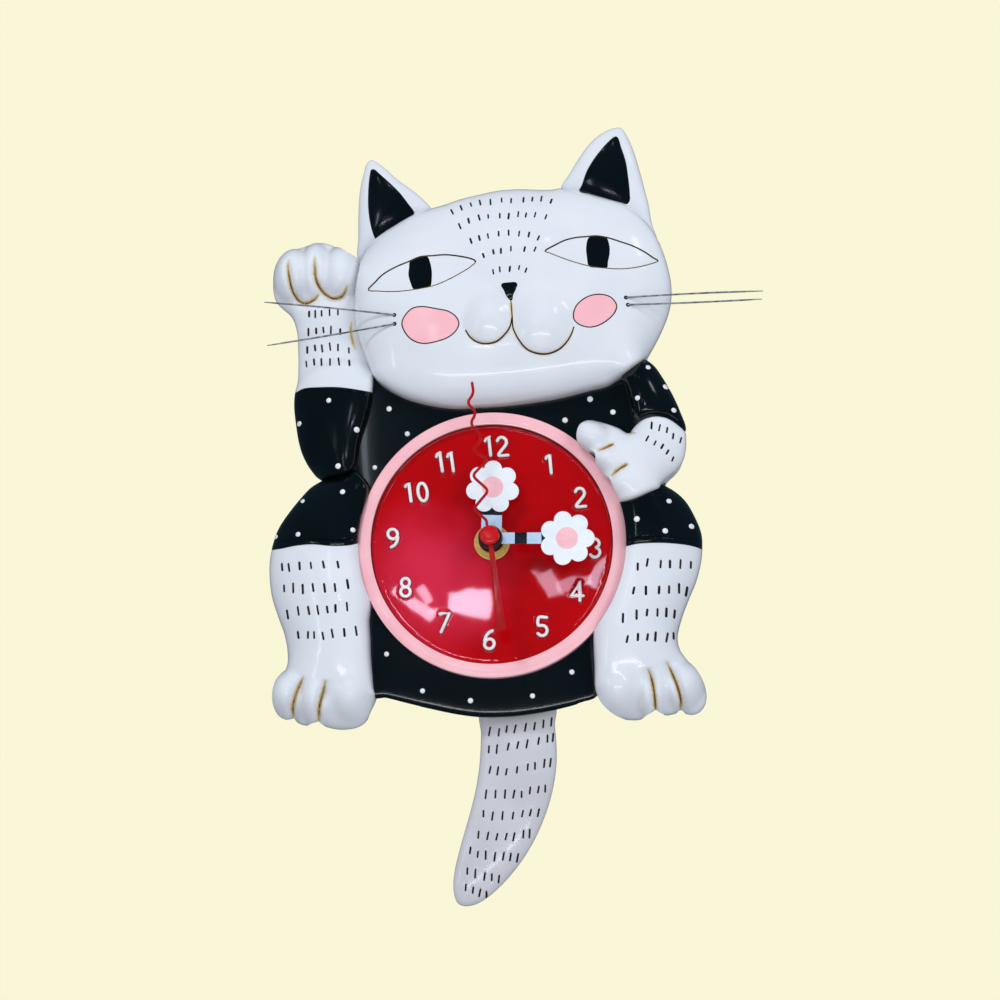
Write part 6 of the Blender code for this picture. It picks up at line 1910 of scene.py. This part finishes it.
def hexagonal(radius, height, angle):
    """Six flats with chamfered corners."""
    if radius < 5.6:
        return radius, height
    from_flat = (angle + math.pi / 6) % (math.pi / 3) - math.pi / 6
    limit = min(HEX_FLAT_R / math.cos(from_flat), HEX_CORNER_R)
    if radius < 6.0:
        return min(radius, limit), height
    chamfer = (limit - HEX_FLAT_R) * 0.55
    return limit, (height - chamfer if height > 28.8 else height + chamfer)


place_mesh("seconds_cap_dome", lathe(CAP_PROFILE, 72), ["cap_red"], smooth=50.0,
           rides="seconds_arbor", replaces="seconds_hand_cap")
place_mesh("minute_hub_nut", lathe(MINUTE_NUT_PROFILE, 144, knurled), ["hub_black"], smooth=32.0,
           rides="minute_arbor", replaces="minute_hand_nut")
place_mesh("bushing_hex_nut", lathe(HEX_NUT_PROFILE, 144, hexagonal), ["plated_brass"],
           smooth=28.0, rides="figure", replaces="fixing_nut")
place_mesh("brass_dial_washer", lathe(WASHER_PROFILE, 120), ["plated_brass"], smooth=40.0,
           rides="figure", replaces="fixing_washer")

# ---------------------------------------------------------------- finishes of the movement
finish("moulded_black", (24, 24, 27), (36, 36, 40), rough=0.42, coat=0.0, scale=90, relief=0.5,
       relief_scale=1400)
finish("acetal_white", (226, 226, 218), (208, 206, 194), rough=0.38, coat=0.1, scale=260,
       relief=0.15)
finish("lever_plastic", (214, 212, 200), (190, 186, 172), rough=0.42, coat=0.1, scale=200,
       relief=0.2)
finish("spring_steel", (190, 192, 196), (150, 152, 158), rough=0.3, coat=0.0, scale=500,
       metal=1.0, relief=0.2)
finish("silicon_steel", (128, 130, 136), (96, 96, 100), rough=0.4, coat=0.0, scale=420,
       metal=1.0, relief=0.3)
finish("enamelled_copper", (196, 104, 52), (120, 52, 22), rough=0.32, coat=0.4, scale=500,
       stretch=(1, 9, 1), metal=0.85, relief=0.5, relief_scale=1500)
finish("board_green", (22, 88, 52), (64, 132, 74), rough=0.35, coat=0.4, scale=900,
       stretch=(1, 1, 0.2), relief=0.2)
finish("black_rubber", (20, 20, 21), (34, 33, 32), rough=0.72, coat=0.0, scale=300, relief=0.6,
       relief_scale=1800)
finish("nickel_magnet", (200, 200, 196), (150, 150, 148), rough=0.2, coat=0.0, scale=260,
       metal=1.0, relief=0.1)
CELL_BANDS = [  # start as a share of the battery's length, colour, metal
    (0.0, (190, 190, 192), 1), (0.02, (34, 46, 92), 0), (0.30, (206, 176, 92), 0.8),
    (0.33, (26, 28, 34), 0), (0.955, (200, 200, 202), 1)]


def cell_finish():
    """Bands along the battery's x, a little grimy."""
    low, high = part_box("aa_battery")
    tree, shader, coords, _ = glossy_base("cell_sleeve", rough=0.25, coat=0.1, relief=0.15)
    split = add_node(tree, "SeparateXYZ", {0: coords})
    share = add_node(tree, "MapRange", {0: split.outputs[0], "From Min": low[0],
                                        "From Max": high[0]}).outputs[0]
    colour = add_node(tree, "ValToRGB", {0: share})
    metal = add_node(tree, "ValToRGB", {0: share})
    for ramp in (colour, metal):
        ramp.color_ramp.interpolation = "CONSTANT"
    fill_ramp(colour, [(start, rgb(*tone)) for start, tone, _ in CELL_BANDS])
    fill_ramp(metal, [(start, (value, value, value, 1)) for start, _, value in CELL_BANDS])
    noise = add_node(tree, "TexNoise", {"Scale": 300.0})
    grime = add_node(tree, "MapRange", {0: noise.outputs[0], "To Min": 0.82, "To Max": 1.0})
    grimy = add_node(tree, "Mix", {"Factor": 1.0, "A": colour.outputs[0], "B": grime.outputs[0]},
                     data_type="RGBA", blend_type="MULTIPLY")
    tree.links.new(grimy.outputs["Result"], shader.inputs["Base Color"])
    tree.links.new(metal.outputs[0], shader.inputs["Metallic"])


cell_finish()
MOVEMENT_FINISHES = {
    "cell_sleeve": ["aa_battery"],
    "spring_steel": ["battery_contact_negative", "battery_contact_positive",
                     "pendulum_pivot_pin", "tail_hook"],
    "board_green": ["circuit_board"],
    "enamelled_copper": ["drive_coil", "pendulum_coil"],
    "silicon_steel": ["stator"],
    "acetal_white": ["rotor", "intermediate_wheel", "seconds_wheel", "third_wheel",
                     "centre_wheel", "cannon_pinion", "motion_work_wheel", "hour_wheel"],
    "lever_plastic": ["time_set_knob", "pendulum_lever"],
    "nickel_magnet": ["pendulum_magnet"],
    "moulded_black": ["movement_front_case", "movement_rear_cover"],
    "black_rubber": ["rubber_gasket"],
}
for finish_name, nodes in MOVEMENT_FINISHES.items():
    for node in nodes:
        slots = bpy.data.objects[node].data.materials
        slots.clear()
        slots.append(MATERIALS[finish_name])
BEVEL_WIDTHS = {  # metres
    "movement_front_case": 0.0003, "movement_rear_cover": 0.0003, "time_set_knob": 0.0003,
    "pendulum_lever": 0.0003, "tail_hook": 0.0002}
for node, width in BEVEL_WIDTHS.items():
    bevel = bpy.data.objects[node].modifiers.new("edge", "BEVEL")
    bevel.width = width
    bevel.segments = 2
    bevel.limit_method = "ANGLE"
    bevel.angle_limit = math.radians(38.0)
    bevel.use_clamp_overlap = True
    bevel.harden_normals = False

# ---------------------------------------------------------------- camera
scene = bpy.context.scene
cam_data = bpy.data.cameras.new("camera")
cam_data.sensor_width = 36.0
cam_data.lens = 36.0 * CAM_RANGE / VIEW_WIDTH
cam_data.clip_end = 20.0
cam = bpy.data.objects.new("camera", cam_data)
scene.collection.objects.link(cam)
cam.location = Vector((CAM_AT - np.array([0.0, 0.0, REST_Z])) * MM)
cam.rotation_euler = Vector(FORWARD).to_track_quat("-Z", "Y").to_euler()
scene.camera = cam
scene.view_settings.view_transform = "Standard"


# ---------------------------------------------------------------- world
def build_world():
    """Cream to the camera, a dim blue in reflections and a pale room for all other light."""
    world = bpy.data.worlds.new("studio")
    scene.world = world
    world.use_nodes = True
    tree = world.node_tree
    tree.nodes.clear()
    path = add_node(tree, "LightPath")
    cream = add_node(tree, "Background", {"Color": rgb(250, 246, 216)})
    room = add_node(tree, "Background", {"Color": (0.95, 0.97, 1.0, 1.0), "Strength": 0.62})
    shine = add_node(tree, "Background", {"Color": (0.30, 0.62, 0.85, 1.0), "Strength": 0.10})
    unseen = add_node(tree, "MixShader", {0: path.outputs["Is Glossy Ray"], 1: room.outputs[0],
                                          2: shine.outputs[0]})
    seen = add_node(tree, "MixShader", {0: path.outputs["Is Camera Ray"], 1: unseen.outputs[0],
                                        2: cream.outputs[0]})
    add_node(tree, "OutputWorld", {0: seen.outputs[0]})


build_world()


# ---------------------------------------------------------------- lights, in metres and watts
def soft_box(name, at, aim, size, power, colour=(1, 1, 1), gloss_only=False, matt_only=False,
             roll=0.0):
    light = bpy.data.lights.new(name, "AREA")
    light.shape = "RECTANGLE"
    light.size, light.size_y = size
    light.energy = power
    light.color = colour
    box = bpy.data.objects.new(name, light)
    box.location = at
    face = (Vector(aim) - Vector(at)).to_track_quat("-Z", "Y")
    box.rotation_euler = (face @ Quaternion((0, 0, 1), math.radians(roll))).to_euler()
    box.visible_camera = False
    box.visible_diffuse = not gloss_only
    box.visible_glossy = not matt_only
    scene.collection.objects.link(box)


def facing(place):
    """Way the glaze faces at a place, over a few millimetres."""
    x, z = place
    reach = 1.5
    left, right, below, above = surface(np.array([(x - reach, z), (x + reach, z),
                                                  (x, z - reach), (x, z + reach)]))
    slope_x, slope_z = (right - left) / (2 * reach), (above - below) / (2 * reach)
    return Vector((-slope_x, -1.0, -slope_z)).normalized()


def mirrored(name, drawn, size, level, colour=(1, 1, 1), flat=False, roll=0.0):
    """A pane hung where a glazed spot of the figure mirrors it into the lens.

    drawn is the spot, level the pane's brightness; flat takes the glaze to face straight ahead.
    """
    place = laid([drawn], surface)[0]
    height = float(surface(place[None])[0])
    spot = Vector((place[0] * MM, -height * MM, (place[1] - REST_Z) * MM))
    normal = Vector((0, -1, 0)) if flat else facing(place)
    ray = (spot - cam.location).normalized()
    bounced = ray - 2 * ray.dot(normal) * normal
    power = level * math.pi * size[0] * size[1]
    soft_box(name, spot + bounced * 1.2, spot, size, power, colour, gloss_only=True, roll=roll)


AIM = (0, 0, -0.06)
soft_box("key", at=(-0.7, -1.5, 1.2), aim=AIM, size=(0.45, 0.35), power=13.0,
         colour=(0.97, 0.98, 1.0), matt_only=True)
soft_box("fill", at=(1.1, -1.4, 0.3), aim=AIM, size=(0.8, 0.8), power=8.5,
         colour=(0.95, 0.97, 1.0), matt_only=True)
soft_box("lift", at=(0.0, -1.6, -0.9), aim=AIM, size=(1.2, 0.6), power=8.0,
         colour=(1.0, 0.98, 0.96), matt_only=True)
LILAC = (0.86, 0.76, 1.0)
DIAL_PANES = [  # name, spot drawn, size, level, roll; mirrored in the lower part of the dial
    ("pane_a", (-11.9, -45.0), (0.030, 0.017), 24.0, -8),
    ("pane_b", (-38.6, -46.0), (0.040, 0.008), 20.0, -36),
    ("pane_c", (-34.6, -41.2), (0.008, 0.016), 16.0, 30),
    ("pane_d", (20.6, -36.0), (0.015, 0.019), 10.0, 24),
    ("pane_e", (33.0, -34.6), (0.030, 0.009), 9.0, 12),
    ("pane_f", (43.4, -31.0), (0.009, 0.020), 13.0, -20),
    ("pane_g", (-24.5, -49.2), (0.024, 0.003), 14.0, 4),
]
BODY_PANES = [  # name, spot drawn, size, level, colour
    ("pane_ear_l", (-53.4, 141.0), (0.020, 0.045), 7.0, (1, 1, 1)),
    ("pane_ear_r", (49.4, 156.8), (0.020, 0.045), 7.0, (1, 1, 1)),
    ("pane_chin", (9.0, 57.0), (0.9, 0.05), 7.0, (1, 1, 1)),
    ("pane_cheek", (57.0, 63.5), (0.10, 0.22), 4.0, (1, 1, 1)),
    ("pane_sleeve", (-66.0, 38.0), (0.05, 0.16), 3.5, (0.8, 0.88, 1.0)),
    ("pane_leg", (-79.0, -62.0), (0.05, 0.30), 4.0, (1, 1, 1)),
]
for name, spot, size, level, roll in DIAL_PANES:
    mirrored(name, spot, size, level, LILAC, flat=True, roll=roll)
for name, spot, size, level, colour in BODY_PANES:
    mirrored(name, spot, size, level, colour)

# ---------------------------------------------------------------- floor
FLOOR_HALF, FLOOR_Z = 4, -0.75      # metres
floor_mesh = bpy.data.meshes.new("floor")
floor_mesh.from_pydata([(-FLOOR_HALF, -FLOOR_HALF, FLOOR_Z), (FLOOR_HALF, -FLOOR_HALF, FLOOR_Z),
                        (FLOOR_HALF, FLOOR_HALF, FLOOR_Z), (-FLOOR_HALF, FLOOR_HALF, FLOOR_Z)],
                       [], [(0, 1, 2, 3)])
pale = finish("pale_floor", (250, 246, 218), (247, 243, 213), rough=0.8, coat=0.0, scale=2,
              level=0.1)
pale.inputs["Emission Color"].default_value = rgb(250, 244, 208)
pale.inputs["Emission Strength"].default_value = 0.30
floor_mesh.materials.append(MATERIALS["pale_floor"])
ground = bpy.data.objects.new("floor", floor_mesh)
scene.collection.objects.link(ground)
ground.visible_diffuse = False
ground.visible_glossy = False
